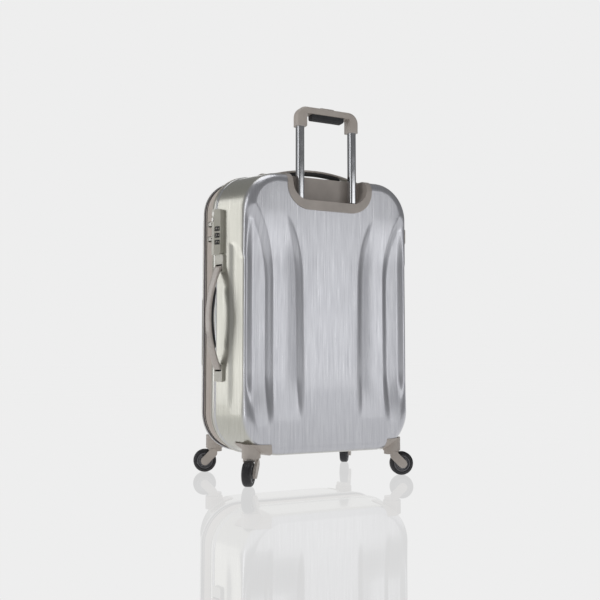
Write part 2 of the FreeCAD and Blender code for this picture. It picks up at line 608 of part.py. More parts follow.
for name, z in (("lower", "dims.slider_low"), ("upper", "dims.slider_high")):
    body = box(f"{name}_body", ("230.4", "dims.zip_middle - dims.slider_wide / 2", f"{z} - dims.slider_long / 2"),
               ("3", "dims.slider_wide", "dims.slider_long"))
    soft = rounded(f"{name}_soft", body, 1.2, lambda e: e.BoundBox.XLength > 1)
    neck = box(f"{name}_neck", ("dims.zip_proud + 0.3", "dims.zip_middle - 1.6", f"{z} - 5"), ("2.4", "3.2", "10"))
    lugs = [box(f"{name}_lug_{k}", ("233.2", "dims.zip_middle - 2.2", f"{z} + {d}"), ("4.2", "4.4", "1.6"))
            for k, d in enumerate((-5.9, 4.3))]
    pin = cylinder(f"{name}_pin", "dims.pin_r", "10.2", ("dims.pin_x", "dims.zip_middle", f"{z} - 5.1"))
    keep(fuse(f"{name}_slider", soft, neck, *lugs, pin), f"slider_{name}")
    eye = cylinder(f"{name}_eye", "2.4", "7.6", ("dims.pin_x", "dims.zip_middle", f"{z} - 3.8"))
    tab = box(f"{name}_tab", ("dims.pin_x - dims.pull_thick / 2", "dims.zip_middle", f"{z} - 3.8"),
              ("dims.pull_thick", "dims.pull_tip - dims.zip_middle", "7.6"))
    eyelet = cylinder(f"{name}_eyelet", "dims.pin_r + dims.run_gap", "12",
                      ("dims.pin_x", "dims.zip_middle", f"{z} - 6"))
    hole = cylinder(f"{name}_hole", "1.9", "8", ("dims.pin_x - 4", "dims.pull_tip - 4.6", z), "X")
    tip = rounded(f"{name}_tip", tab, 3.2, lambda e: e.BoundBox.XLength > 1 and
                  e.CenterOfMass.y > size("pull_tip") - 1)
    pull = cut(f"{name}_pull_cut", fuse(f"{name}_pull_fused", eye, tip), eyelet, hole)
    spot = Vector(size("pin_x"), size("zip_middle"), 0)
    keep(leaned(f"{name}_pull_leaned", pull, pivot=spot), f"pull_{name}")

# ---- Packing straps ---------------------------------------------------------------------------

for name, y, toward in (("rear", "dims.lining_back - dims.lining_wall", -1),
                        ("front", "dims.front_face + dims.wall + dims.lining_gap + dims.lining_wall", 1)):
    low = f"{y} - dims.strap_thick" if toward < 0 else y
    arms = []
    for n, angle in enumerate((34, 146, 214, 326)):
        arm = box(f"{name}_arm_{n}", ("0", "0", "0"), ("dims.strap_reach", "dims.strap_thick", "dims.strap_wide"))
        arm.Placement.Rotation = Rotation(Vector(0, -1, 0), angle)
        across = (math.sin(math.radians(angle)) / 2, -math.cos(math.radians(angle)) / 2)
        bind(arm, Placement__Base__x=f"{across[0]:.5f} * dims.strap_wide", Placement__Base__y=low,
             Placement__Base__z=f"(dims.base_z + dims.top_z) / 2 - 40 + {across[1]:.5f} * dims.strap_wide")
        arms.append(arm)
    keep(fuse(f"{name}_arms", *arms), f"{name}_straps")
    block = box(f"{name}_buckle_box", ("-1 * dims.buckle_size / 2", f"{low} - 6" if toward < 0 else
                                       f"{low} + dims.strap_thick", "(dims.base_z + dims.top_z) / 2 - 40 - 17"),
                ("dims.buckle_size", "6", "34"))
    keep(rounded(f"{name}_buckle_soft", block, 6, lambda e: e.BoundBox.YLength > 1), f"{name}_buckle")


# ---- Casters ----------------------------------------------------------------------------------


def caster(tag, side, end, angle, form, grown):
    """One caster: its housing on the shell, its swivelling fork and its wheel.

    The fork and wheel are built trailing along +X and then turned about the upright stem.
    """
    x, y = f"{side} * dims.caster_x", f"{end} * dims.caster_y"
    turret = cylinder(f"{tag}_turret", "dims.housing_r", "70", (x, y, "dims.housing_low"))
    plate = box(f"{tag}_plate", (f"{x} - dims.plate_half", f"{y} - dims.plate_half", "dims.housing_low - 10"),
                ("2 * dims.plate_half", "2 * dims.plate_half", "dims.plate_high - dims.housing_low + 10"))
    plate_soft = rounded(f"{tag}_plate_soft", plate, 12, lambda e: e.BoundBox.ZLength > 1)
    flange = common(f"{tag}_flange", plate_soft, grown)
    well = cylinder(f"{tag}_well", "dims.stem_r + dims.run_gap", "dims.stem_top - dims.housing_low + 1",
                    (x, y, "dims.housing_low - 0.5"))
    cap = common(f"{tag}_cap", turret, box(f"{tag}_cap_box", (f"{x} - 30", f"{y} - 30", "dims.housing_low"),
                                           ("60", "60", "dims.plate_high - dims.housing_low")))
    housing = fuse(f"{tag}_housing_fused", cap, flange)
    keep(cut(f"{tag}_housing_cut", housing, form, well), f"housing_{tag}")

    head_low = "dims.housing_low - dims.head_gap - dims.head_tall"
    head = cylinder(f"{tag}_head", "dims.head_r", "dims.head_tall", ("0", "0", head_low))
    scoop = cylinder(f"{tag}_scoop", "dims.wheel_r + 1.5", "dims.tyre_wide + 3",
                     ("dims.trail", "-1 * dims.tyre_wide / 2 - 2.5", "dims.wheel_r"), "Y")
    stem = cylinder(f"{tag}_stem", "dims.stem_r", "dims.stem_top - dims.housing_low + dims.head_gap + 1",
                    ("0", "0", "dims.housing_low - dims.head_gap - 1"))
    arm_low = "dims.tyre_wide / 2 + dims.arm_gap"
    foot = cylinder(f"{tag}_foot", "dims.arm_half", "dims.arm_thick", ("dims.trail", arm_low, "dims.wheel_r"), "Y")
    bridge = box(f"{tag}_bridge", ("dims.trail", arm_low, "dims.wheel_r"),
                 ("2 * dims.arm_half", "dims.arm_thick", "26"))
    lean = math.atan2(size("trail") - 4, 44 - size("wheel_r"))
    bridge.Placement.Rotation = Rotation(Vector(0, -1, 0), math.degrees(lean))
    bind(bridge, Placement__Base__x=f"dims.trail - dims.arm_half * {math.cos(lean):.6f}",
         Placement__Base__z=f"dims.wheel_r - dims.arm_half * {math.sin(lean):.6f}")
    crown = cylinder(f"{tag}_crown", "dims.arm_half", "dims.arm_thick", ("4", arm_low, "44"), "Y")
    axle = cylinder(f"{tag}_axle", "dims.axle_r", "dims.tyre_wide + dims.arm_gap + 1.5",
                    ("dims.trail", "-1 * dims.tyre_wide / 2 - 0.5", "dims.wheel_r"), "Y")
    cap_pin = cylinder(f"{tag}_pin_cap", "dims.axle_r + 2", "1.4",
                       ("dims.trail", "-1 * dims.tyre_wide / 2 - 1.7", "dims.wheel_r"), "Y")
    arm = fuse(f"{tag}_arm", foot, bridge, crown)
    fork = fuse(f"{tag}_fork_fused", cut(f"{tag}_head_cut", head, scoop), stem, arm, axle, cap_pin)

    if side < 0:
        fork = mirrored(f"{tag}_fork_mirrored", fork, Vector(0, 1, 0))

    tyre = cylinder(f"{tag}_tyre", "dims.wheel_r", "dims.tyre_wide",
                    ("dims.trail", "-1 * dims.tyre_wide / 2", "dims.wheel_r"), "Y")
    tyre_soft = rounded(f"{tag}_tyre_soft", tyre, 6, lambda e: e.BoundBox.YLength < 0.01)
    rim_space = cylinder(f"{tag}_rim_space", "dims.rim_r", "dims.tyre_wide + 4",
                         ("dims.trail", "-1 * dims.tyre_wide / 2 - 2", "dims.wheel_r"), "Y")
    rim = cylinder(f"{tag}_rim", "dims.rim_r", "dims.tyre_wide - 1",
                   ("dims.trail", "-1 * dims.tyre_wide / 2 + 0.5", "dims.wheel_r"), "Y")
    bore = cylinder(f"{tag}_bore", "dims.axle_r + dims.run_gap", "dims.tyre_wide + 4",
                    ("dims.trail", "-1 * dims.tyre_wide / 2 - 2", "dims.wheel_r"), "Y")
    dish = cut(f"{tag}_dish", cylinder(f"{tag}_dish_out", "dims.rim_r - 2.5", "30",
                                       ("dims.trail", "dims.tyre_wide / 2 - 4", "dims.wheel_r"), "Y"),
               cylinder(f"{tag}_dish_in", "dims.axle_r + 3", "32",
                        ("dims.trail", "dims.tyre_wide / 2 - 5", "dims.wheel_r"), "Y"))
    far_dish = cut(f"{tag}_far_dish", cylinder(f"{tag}_far_out", "dims.rim_r - 2.5", "30",
                                               ("dims.trail", "-1 * dims.tyre_wide / 2 - 26", "dims.wheel_r"), "Y"),
                   cylinder(f"{tag}_far_in", "dims.axle_r + 3", "32",
                            ("dims.trail", "-1 * dims.tyre_wide / 2 - 27", "dims.wheel_r"), "Y"))
    pieces = {
        "fork": fork,
        "tyre": cut(f"{tag}_tyre_cut", tyre_soft, rim_space),
        "rim": cut(f"{tag}_rim_cut", rim, bore, dish, far_dish),
    }
    for kind, shape in pieces.items():
        made = group(f"{tag}_{kind}_placed", shape)
        made.Placement = Placement(Vector(), Rotation(Vector(0, 0, 1), angle))
        bind(made, Placement__Base__x=x, Placement__Base__y=y)
        keep(made, f"{kind}_{tag}")


# Which way each caster trails, in degrees about +Z from +X, as it was left standing.
caster("rear_left", 1, 1, 54, rear_form, rear_grown)
caster("rear_right", -1, 1, 160, rear_form, rear_grown)
caster("front_left", 1, -1, -16, front_form, front_grown)
caster("front_right", -1, -1, 236, front_form, front_grown)

# ---- Check and export -------------------------------------------------------------------------

doc.recompute()
for obj in doc.Objects:
    if "Invalid" in obj.State or "Error" in obj.State:
        raise SystemExit(f"{obj.Name} ({obj.Label}) failed to build: {obj.State}")
for label, obj in nodes.items():
    if obj.Shape.isNull() or not obj.Shape.isValid() or not obj.Shape.Solids:
        raise SystemExit(f"{label} has no valid solid")
os.makedirs("parts", exist_ok=True)
for label, obj in nodes.items():
    obj.Shape.exportStep(f"parts/{label}.step")
    b = obj.Shape.BoundBox
    print(f"{label:18s} solids {len(obj.Shape.Solids)}  volume {obj.Shape.Volume / 1000:8.1f} cm3  "
          f"x {b.XMin:7.1f} {b.XMax:7.1f}  y {b.YMin:7.1f} {b.YMax:7.1f}  z {b.ZMin:6.1f} {b.ZMax:6.1f}")
print(len(nodes), "sub-parts written")
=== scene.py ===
import bmesh
import bpy
import math
import numpy as np
from mathutils import Matrix, Vector


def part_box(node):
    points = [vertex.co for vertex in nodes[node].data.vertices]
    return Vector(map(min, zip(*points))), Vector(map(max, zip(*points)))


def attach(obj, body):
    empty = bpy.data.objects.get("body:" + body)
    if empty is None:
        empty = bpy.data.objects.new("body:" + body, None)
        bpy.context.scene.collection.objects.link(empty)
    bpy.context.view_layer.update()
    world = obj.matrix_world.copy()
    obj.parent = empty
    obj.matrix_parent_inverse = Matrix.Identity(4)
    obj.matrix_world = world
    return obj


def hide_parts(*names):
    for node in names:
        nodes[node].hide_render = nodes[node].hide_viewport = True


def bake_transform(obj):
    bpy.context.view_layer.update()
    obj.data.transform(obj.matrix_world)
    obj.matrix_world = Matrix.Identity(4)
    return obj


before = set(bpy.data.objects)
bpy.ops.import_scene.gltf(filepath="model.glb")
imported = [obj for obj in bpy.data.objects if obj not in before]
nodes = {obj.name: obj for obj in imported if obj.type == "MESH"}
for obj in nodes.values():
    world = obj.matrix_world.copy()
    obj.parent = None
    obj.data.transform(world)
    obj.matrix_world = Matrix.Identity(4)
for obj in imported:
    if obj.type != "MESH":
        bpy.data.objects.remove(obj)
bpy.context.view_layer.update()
mm = 0.001
print("frame loaded")


def smoothStep(value, start, end):
    # 0 before start, 1 after end, and 3t^2 - 2t^3 between them
    t = np.clip((value - start) / (end - start), 0, 1)
    return t * t * (3 - 2 * t)


def gridFaces(rows, columns, offset=0, closeRows=False, closeColumns=False):
    # quad corners of a rows x columns grid of points, wrapped round where it is closed
    r = np.arange(rows if closeRows else rows - 1)[:, None]
    c = np.arange(columns if closeColumns else columns - 1)[None, :]
    r2, c2 = (r + 1) % rows, (c + 1) % columns
    quads = np.stack([r * columns + c, r * columns + c2, r2 * columns + c2, r2 * columns + c], axis=-1)
    return quads.reshape(-1, 4) + offset


def buildPiece(name, parts, body, finish, replaced=(), smooth=True, ridesOn=True):
    # one mesh from (points in mm, quads, unrolled uv or None) parts, with its doubles merged and its
    # faces turned outwards
    points, faces, places, count = [], [], [], 0
    for part in parts:
        p = np.asarray(part[0], float).reshape(-1, 3)
        points.append(p)
        faces.append(part[1] + count)
        uv = part[2] if len(part) > 2 and part[2] is not None else p[:, [0, 2]]
        places.append(np.asarray(uv, float).reshape(-1, 2))
        count += len(p)
    points, faces, places = np.concatenate(points) * mm, np.concatenate(faces), np.concatenate(places) * mm
    mesh = bpy.data.meshes.new(name)
    mesh.from_pydata(points.tolist(), [], faces.tolist())
    layer = mesh.uv_layers.new(name="unrolled")
    layer.data.foreach_set("uv", places[faces.ravel()].ravel())
    work = bmesh.new()
    work.from_mesh(mesh)
    bmesh.ops.remove_doubles(work, verts=work.verts, dist=4e-6)
    bmesh.ops.dissolve_degenerate(work, dist=1e-7, edges=work.edges)
    bmesh.ops.recalc_face_normals(work, faces=work.faces)
    work.to_mesh(mesh)
    work.free()
    mesh.polygons.foreach_set("use_smooth", np.full(len(mesh.polygons), smooth))
    mesh.materials.append(finish)
    piece = bpy.data.objects.new(name, mesh)
    bpy.context.scene.collection.objects.link(piece)
    if ridesOn:
        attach(piece, body)
    if replaced:
        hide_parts(*replaced)
    return piece


def roundedSide(count, straight, startRadius, endRadius):
    # one side of a rounded rectangle, from the middle of one corner's arc to the middle of the next,
    # evenly spaced: distance along, distance inwards, and tilt of the outward direction
    startArc, endArc = startRadius * math.pi / 4, endRadius * math.pi / 4
    s = np.linspace(0, startArc + straight + endArc, count)
    before = np.clip((startArc - s) / startRadius, 0, None)
    after = np.clip((s - startArc - straight) / endRadius, 0, None)
    along = np.clip(s - startArc, 0, straight) - startRadius * np.sin(before) + endRadius * np.sin(after)
    inward = startRadius * (1 - np.cos(before)) + endRadius * (1 - np.cos(after))
    return along, inward, after - before


def outline(half, low, top, lowRadius, topRadius, columns, rows):
    # the case's rounded outline as one closed loop of x, z and outward direction, starting at the
    # middle of the lower left corner: bottom, right side, top, left side
    wide, tall = 2 * half, top - low
    a, i, t = roundedSide(columns, wide - 2 * lowRadius, lowRadius, lowRadius)
    bottom = np.stack([-half + lowRadius + a, low + i, np.sin(t), -np.cos(t)], -1)
    a, i, t = roundedSide(columns, wide - 2 * topRadius, topRadius, topRadius)
    upper = np.stack([-half + topRadius + a, top - i, np.sin(t), np.cos(t)], -1)
    a, i, t = roundedSide(rows, tall - lowRadius - topRadius, lowRadius, topRadius)
    right = np.stack([half - i, low + lowRadius + a, np.cos(t), np.sin(t)], -1)
    left = right * [-1, 1, -1, 1]
    return np.concatenate([bottom[:-1], right[:-1], upper[:0:-1], left[:0:-1]])


def evenLoop(loop, count):
    # the same loop with its points at equal distances
    ring = np.concatenate([loop, loop[:1]])
    run = np.concatenate([[0], np.cumsum(np.hypot(*np.diff(ring[:, :2], axis=0).T))])
    at = np.arange(count) * run[-1] / count
    even = np.stack([np.interp(at, run, ring[:, k]) for k in range(4)], -1)
    even[:, 2:] /= np.linalg.norm(even[:, 2:], axis=1, keepdims=True)
    return even, run[-1]


def sweepRound(loop, profile, closed=True):
    # a cross-section of (out, y) points carried round a loop along its outward direction
    profile = np.asarray(profile, float)
    x = loop[:, None, 0] + loop[:, None, 2] * profile[None, :, 0]
    z = loop[:, None, 1] + loop[:, None, 3] * profile[None, :, 0]
    y = np.broadcast_to(profile[None, :, 1], x.shape)
    run = np.concatenate([[0], np.cumsum(np.hypot(*np.diff(loop[:, :2], axis=0).T))])
    across = np.concatenate([[0], np.cumsum(np.hypot(*np.diff(profile, axis=0).T))])
    uv = np.stack(np.broadcast_arrays(run[:, None], across[None, :]), -1)
    points = np.stack([x, y, z], -1)
    return points, gridFaces(len(loop), len(profile), 0, True, closed), uv


def superCurve(angle, power):
    # cosine and sine raised so that the circle squares up: |c|^power with its sign kept
    c, s = np.cos(angle), np.sin(angle)
    return np.sign(c) * np.abs(c) ** power, np.sign(s) * np.abs(s) ** power


def sweptForm(centre, across, outward, halfWide, halfThick, power=0.6, ring=28):
    # a squared oval of varying size carried along a centre line; both ends close to a point
    angle = np.linspace(0, 2 * math.pi, ring, endpoint=False)
    c, s = superCurve(angle, power)
    body = (centre[:, None] + across[:, None] * (halfWide[:, None, None] * c[None, :, None])
            + outward[:, None] * (halfThick[:, None, None] * s[None, :, None]))
    first, last = np.repeat(centre[:1, None], ring, 1), np.repeat(centre[-1:, None], ring, 1)
    points = np.concatenate([first, body, last])
    run = np.concatenate([[0], np.cumsum(np.linalg.norm(np.diff(centre, axis=0), axis=1))])
    run = np.concatenate([run[:1], run, run[-1:]])
    wide = angle / (2 * math.pi) * 2 * (halfWide.max() + halfThick.max())
    uv = np.stack(np.broadcast_arrays(run[:, None], wide[None, :]), -1)
    return points, gridFaces(len(points), ring, 0, False, True), uv


def lathe(profile, centre, axis, steps=96, ripple=None):
    # a closed (axial, radius) profile turned about an axis through centre; ripple may change both by angle
    profile = np.asarray(profile, float)
    axis = np.asarray(axis, float) / np.linalg.norm(axis)
    helper = np.array([0, 0, 1.0]) if abs(axis[2]) < 0.9 else np.array([1.0, 0, 0])
    u = np.cross(axis, helper)
    u /= np.linalg.norm(u)
    v = np.cross(axis, u)
    angle = np.linspace(0, 2 * math.pi, steps, endpoint=False)[:, None]
    axial = np.broadcast_to(profile[None, :, 0], (steps, len(profile)))
    radius = np.broadcast_to(profile[None, :, 1], (steps, len(profile)))
    if ripple is not None:
        axial, radius = ripple(angle, axial, radius)
    points = (np.asarray(centre, float) + axial[..., None] * axis
              + radius[..., None] * (np.cos(angle)[..., None] * u + np.sin(angle)[..., None] * v))
    across = np.concatenate([[0], np.cumsum(np.hypot(*np.diff(profile, axis=0).T))])
    uv = np.stack(np.broadcast_arrays(angle * profile[:, 1].max(), across[None, :]), -1)
    return points, gridFaces(steps, len(profile), 0, True, True), uv


def linear(hexText):
    # an sRGB hex value as linear red, green, blue and full alpha
    parts = [int(hexText[i:i + 2], 16) / 255 for i in (1, 3, 5)]
    return [p / 12.92 if p <= 0.04045 else ((p + 0.055) / 1.055) ** 2.4 for p in parts] + [1.0]


def addNode(tree, kind, settings=None, links=None):
    # a node with its settings, by socket name or number or by attribute, and the links into it
    made = tree.nodes.new(kind)
    for key, value in (settings or {}).items():
        if isinstance(key, int) or key in made.inputs:
            made.inputs[key].default_value = value
        else:
            setattr(made, key, value)
    for key, (source, output) in (links or {}).items():
        tree.links.new(source.outputs[output], made.inputs[key])
    return made


def newFinish(name):
    finish = bpy.data.materials.new(name)
    finish.use_nodes = True
    finish.node_tree.nodes.clear()
    return finish, finish.node_tree


def closeFinish(tree, shader):
    addNode(tree, "ShaderNodeOutputMaterial", None, {"Surface": (shader, "BSDF")})


def brushedShell(name):
    # Polycarbonate shell over a brushed silver film: fine upright hairlines under a clear wet gloss,
    # cool on the broad faces; the warmer, darker colour round the sides is a painted reflection tone.
    # side and sideDark are painted reflection tones for the sideways walls, not a second film colour
    s = {"face": "#d2d3d8", "faceDark": "#b2b3ba", "side": "#c9c8bf", "sideDark": "#b3b2a7",
         "hairlineMm": 0.9, "streakMm": 4.5, "runMm": 70.0}
    finish, tree = newFinish(name)
    uv = addNode(tree, "ShaderNodeUVMap", {"uv_map": "unrolled"})
    fine = addNode(tree, "ShaderNodeMapping", {"Scale": (1000 / s["hairlineMm"], 1000 / s["runMm"], 1)},
                   {"Vector": (uv, "UV")})
    broad = addNode(tree, "ShaderNodeMapping", {"Scale": (1000 / s["streakMm"], 1000 / (s["runMm"] * 2.5), 1)},
                    {"Vector": (uv, "UV")})
    hairs = addNode(tree, "ShaderNodeTexNoise", {"Scale": 1.0, "Detail": 5.0, "Roughness": 0.62},
                    {"Vector": (fine, "Vector")})
    streaks = addNode(tree, "ShaderNodeTexNoise", {"Scale": 1.0, "Detail": 3.0, "Roughness": 0.5},
                      {"Vector": (broad, "Vector")})
    blend = addNode(tree, "ShaderNodeMath", {"operation": "MULTIPLY_ADD", 1: 0.72},
                    {0: (hairs, "Fac"), 2: (addNode(tree, "ShaderNodeMath", {"operation": "MULTIPLY", 1: 0.28},
                                                    {0: (streaks, "Fac")}), "Value")})
    tone = addNode(tree, "ShaderNodeMapRange", {"From Min": 0.34, "From Max": 0.66},
                   {"Value": (blend, "Value")})
    # painted reflection tone: the side colours are mixed in by how far the wall faces sideways
    paintedSideToneMask = addNode(tree, "ShaderNodeAttribute", {"attribute_name": "paintedSideToneMask"})
    cool = addNode(tree, "ShaderNodeMix", {"data_type": "RGBA", 6: linear(s["faceDark"]), 7: linear(s["face"])},
                   {0: (tone, "Result")})
    paintedSideTone = addNode(tree, "ShaderNodeMix", {"data_type": "RGBA", 6: linear(s["sideDark"]), 7: linear(s["side"])},
                   {0: (tone, "Result")})
    colour = addNode(tree, "ShaderNodeMix", {"data_type": "RGBA"},
                     {0: (paintedSideToneMask, "Fac"), 6: (cool, 2), 7: (paintedSideTone, 2)})
    rough = addNode(tree, "ShaderNodeMapRange", {"To Min": 0.36, "To Max": 0.26}, {"Value": (tone, "Result")})
    relief = addNode(tree, "ShaderNodeBump", {"Strength": 0.1, "Distance": 0.0002},
                     {"Height": (blend, "Value")})
    closeFinish(tree, addNode(tree, "ShaderNodeBsdfPrincipled",
                              {"Metallic": 0.8, "IOR": 1.5, "Coat Weight": 0.8, "Coat Roughness": 0.06,
                               "Coat IOR": 1.5},
                              {"Base Color": (colour, 2), "Roughness": (rough, "Result"),
                               "Normal": (relief, "Normal")}))
    return finish


def mouldedPlastic(name, light, dark, roughness, grainMm, coat=0.0, strength=0.12, spread=0.1):
    # Injection moulded plastic: an even colour with slow mottling, a fine spark-eroded grain, and
    # faint rub marks where the gloss changes.
    finish, tree = newFinish(name)
    place = addNode(tree, "ShaderNodeTexCoord")
    slow = addNode(tree, "ShaderNodeTexNoise", {"Scale": 22.0, "Detail": 3.0}, {"Vector": (place, "Object")})
    grain = addNode(tree, "ShaderNodeTexNoise", {"Scale": 1000 / grainMm, "Detail": 2.0, "Roughness": 0.6},
                    {"Vector": (place, "Object")})
    rubs = addNode(tree, "ShaderNodeTexNoise",
                   {"Scale": 90.0, "Detail": 6.0, "Roughness": 0.7, "Distortion": 0.6},
                   {"Vector": (place, "Object")})
    mottle = addNode(tree, "ShaderNodeMapRange", {"From Min": 0.3, "From Max": 0.7}, {"Value": (slow, "Fac")})
    colour = addNode(tree, "ShaderNodeMix", {"data_type": "RGBA", 6: linear(dark), 7: linear(light)},
                     {0: (mottle, "Result")})
    rough = addNode(tree, "ShaderNodeMapRange",
                    {"From Min": 0.35, "From Max": 0.7, "To Min": roughness - spread / 2,
                     "To Max": roughness + spread}, {"Value": (rubs, "Fac")})
    relief = addNode(tree, "ShaderNodeBump", {"Strength": strength, "Distance": 0.0002},
                     {"Height": (grain, "Fac")})
    closeFinish(tree, addNode(tree, "ShaderNodeBsdfPrincipled",
                              {"IOR": 1.49, "Coat Weight": coat, "Coat Roughness": 0.12},
                              {"Base Color": (colour, 2), "Roughness": (rough, "Result"),
                               "Normal": (relief, "Normal")}))
    return finish


def drawnMetal(name, light, dark, roughness, lineMm, axis, strength=0.05):
    # Drawn or plated metal: long hairlines along the piece that stretch its highlights.
    finish, tree = newFinish(name)
    place = addNode(tree, "ShaderNodeTexCoord")
    stretch = [1000 / lineMm] * 3
    stretch[axis] = 1000 / (lineMm * 90)
    lines = addNode(tree, "ShaderNodeMapping", {"Scale": stretch}, {"Vector": (place, "Object")})
    hairs = addNode(tree, "ShaderNodeTexNoise", {"Scale": 1.0, "Detail": 4.0, "Roughness": 0.6},
                    {"Vector": (lines, "Vector")})
    smears = addNode(tree, "ShaderNodeTexNoise", {"Scale": 35.0, "Detail": 4.0}, {"Vector": (place, "Object")})
    tone = addNode(tree, "ShaderNodeMapRange", {"From Min": 0.35, "From Max": 0.65}, {"Value": (hairs, "Fac")})
    colour = addNode(tree, "ShaderNodeMix", {"data_type": "RGBA", 6: linear(dark), 7: linear(light)},
                     {0: (tone, "Result")})
    rough = addNode(tree, "ShaderNodeMapRange",
                    {"From Min": 0.3, "From Max": 0.7, "To Min": roughness * 0.8, "To Max": roughness * 1.5},
                    {"Value": (smears, "Fac")})
    relief = addNode(tree, "ShaderNodeBump", {"Strength": strength, "Distance": 0.00002},
                     {"Height": (hairs, "Fac")})
    closeFinish(tree, addNode(tree, "ShaderNodeBsdfPrincipled", {"Metallic": 1.0},
                              {"Base Color": (colour, 2), "Roughness": (rough, "Result"),
                               "Normal": (relief, "Normal")}))
    return finish


def wovenCloth(name, light, dark, threadMm, sheen=0.3, strength=0.5):
    # Plain woven polyester: crossing threads that catch light in turn, a soft sheen, and dust that
    # lies unevenly. The threads are drawn about twice as coarse as real ones, so that they show.
    finish, tree = newFinish(name)
    uv = addNode(tree, "ShaderNodeUVMap", {"uv_map": "unrolled"})
    threads = {"Scale": 1000 / threadMm / 6.28, "Distortion": 0.4, "Detail": 1.0}
    across = addNode(tree, "ShaderNodeTexWave", dict(threads, bands_direction="X"), {"Vector": (uv, "UV")})
    along = addNode(tree, "ShaderNodeTexWave", dict(threads, bands_direction="Y"), {"Vector": (uv, "UV")})
    weave = addNode(tree, "ShaderNodeMath", {"operation": "MULTIPLY"}, {0: (across, "Fac"), 1: (along, "Fac")})
    dust = addNode(tree, "ShaderNodeTexNoise", {"Scale": 30.0, "Detail": 5.0}, {"Vector": (uv, "UV")})
    mixed = addNode(tree, "ShaderNodeMath", {"operation": "MULTIPLY_ADD", 1: 0.6},
                    {0: (weave, "Value"), 2: (addNode(tree, "ShaderNodeMath", {"operation": "MULTIPLY", 1: 0.5},
                                                      {0: (dust, "Fac")}), "Value")})
    colour = addNode(tree, "ShaderNodeMix", {"data_type": "RGBA", 6: linear(dark), 7: linear(light)},
                     {0: (mixed, "Value")})
    rough = addNode(tree, "ShaderNodeMapRange", {"To Min": 0.72, "To Max": 0.9}, {"Value": (dust, "Fac")})
    relief = addNode(tree, "ShaderNodeBump", {"Strength": strength, "Distance": 0.0003},
                     {"Height": (weave, "Value")})
    closeFinish(tree, addNode(tree, "ShaderNodeBsdfPrincipled", {"Sheen Weight": sheen, "Sheen Roughness": 0.4},
                              {"Base Color": (colour, 2), "Roughness": (rough, "Result"),
                               "Normal": (relief, "Normal")}))
    return finish


finishes = {
    "shell": brushedShell("brushedFilmPolycarbonate"),
    "taupeSatin": mouldedPlastic("satinTaupeAbs", "#b5ada6", "#a59d97", 0.38, 0.5, 0.15),
    "taupeGloss": mouldedPlastic("glossTaupeAbs", "#bdb5ae", "#ada59e", 0.26, 0.8, 0.4, 0.05),
    "lightTaupe": mouldedPlastic("lightTaupeNylon", "#c4bcb4", "#b3aaa3", 0.42, 0.6, 0.1),
    "champagne": mouldedPlastic("champagneAbs", "#bfbdb2", "#a9a79b", 0.3, 0.6, 0.4),
    "cream": mouldedPlastic("creamAbs", "#ddd8cd", "#cbc5b9", 0.3, 0.6, 0.3),
    "blackSatin": mouldedPlastic("blackNylon", "#2b2b2d", "#1c1c1e", 0.4, 0.5, 0.1),
    "gripRubber": mouldedPlastic("softTouchRubber", "#38383b", "#28282b", 0.62, 0.7, 0.0, 0.35),
    "tyreRubber": mouldedPlastic("castPolyurethane", "#2c2c30", "#1e1e21", 0.4, 0.9, 0.0, 0.25, 0.2),
    "rimSilver": mouldedPlastic("greyPaintedNylon", "#77777b", "#5f5f64", 0.3, 0.6, 0.3),
    "tubeChrome": drawnMetal("chromedTube", "#dadbde", "#b7b9bd", 0.1, 0.4, 2),
    "tubeInner": drawnMetal("drawnAluminium", "#c6c8cb", "#a5a7ab", 0.25, 0.35, 2),
    "brightSteel": drawnMetal("brushedSteel", "#d0cfcb", "#aeadaa", 0.24, 0.3, 1),
    "sliderZinc": drawnMetal("platedZinc", "#c2bfba", "#a19e99", 0.3, 0.5, 2),
    "lining": wovenCloth("linedPolyester", "#7d7d81", "#58585c", 1.2, 0.4),
    "band": wovenCloth("wovenBeigeBand", "#d6ccc3", "#b3a89f", 1.3, 0.25),
    "webbing": wovenCloth("wovenWebbing", "#45454a", "#232327", 1.5, 0.3, 0.7),
    "zipNylon": mouldedPlastic("nylonCoil", "#5d5855", "#3c3836", 0.45, 0.5, 0.1),
}
print("finishes made")

# the case's outline in mm, shared by the shells, linings, zipper and band
case = {"half": 228.5, "low": 57.5, "top": 658.5, "lowRadius": 85, "topRadius": 80,
        "sideSlope": 0.3, "topSlope": 0.06, "baseSlope": 0.02, "columns": 150, "rows": 214}


def caseLoop(half):
    # the outline of the case moved in or out so that its half width is half
    grow = half - case["half"]
    return outline(half, case["low"] - grow, case["top"] + grow, case["lowRadius"] + grow,
                   case["topRadius"] + grow, case["columns"], case["rows"])


# the heights in mm between which each flute fades, and the bends of their lines
fluteForm = {"innerStart": (122, 225), "innerEnd": (466, 574), "outerStart": (112, 235),
             "hollowStart": (140, 250), "hollowEnd": (450, 570), "outerBend": 2.35, "innerBend": 2.1,
             "innerLean": 4, "leanHeight": 300, "outerSoften": 0.5, "hollowShift": 6, "hollowWide": 30}


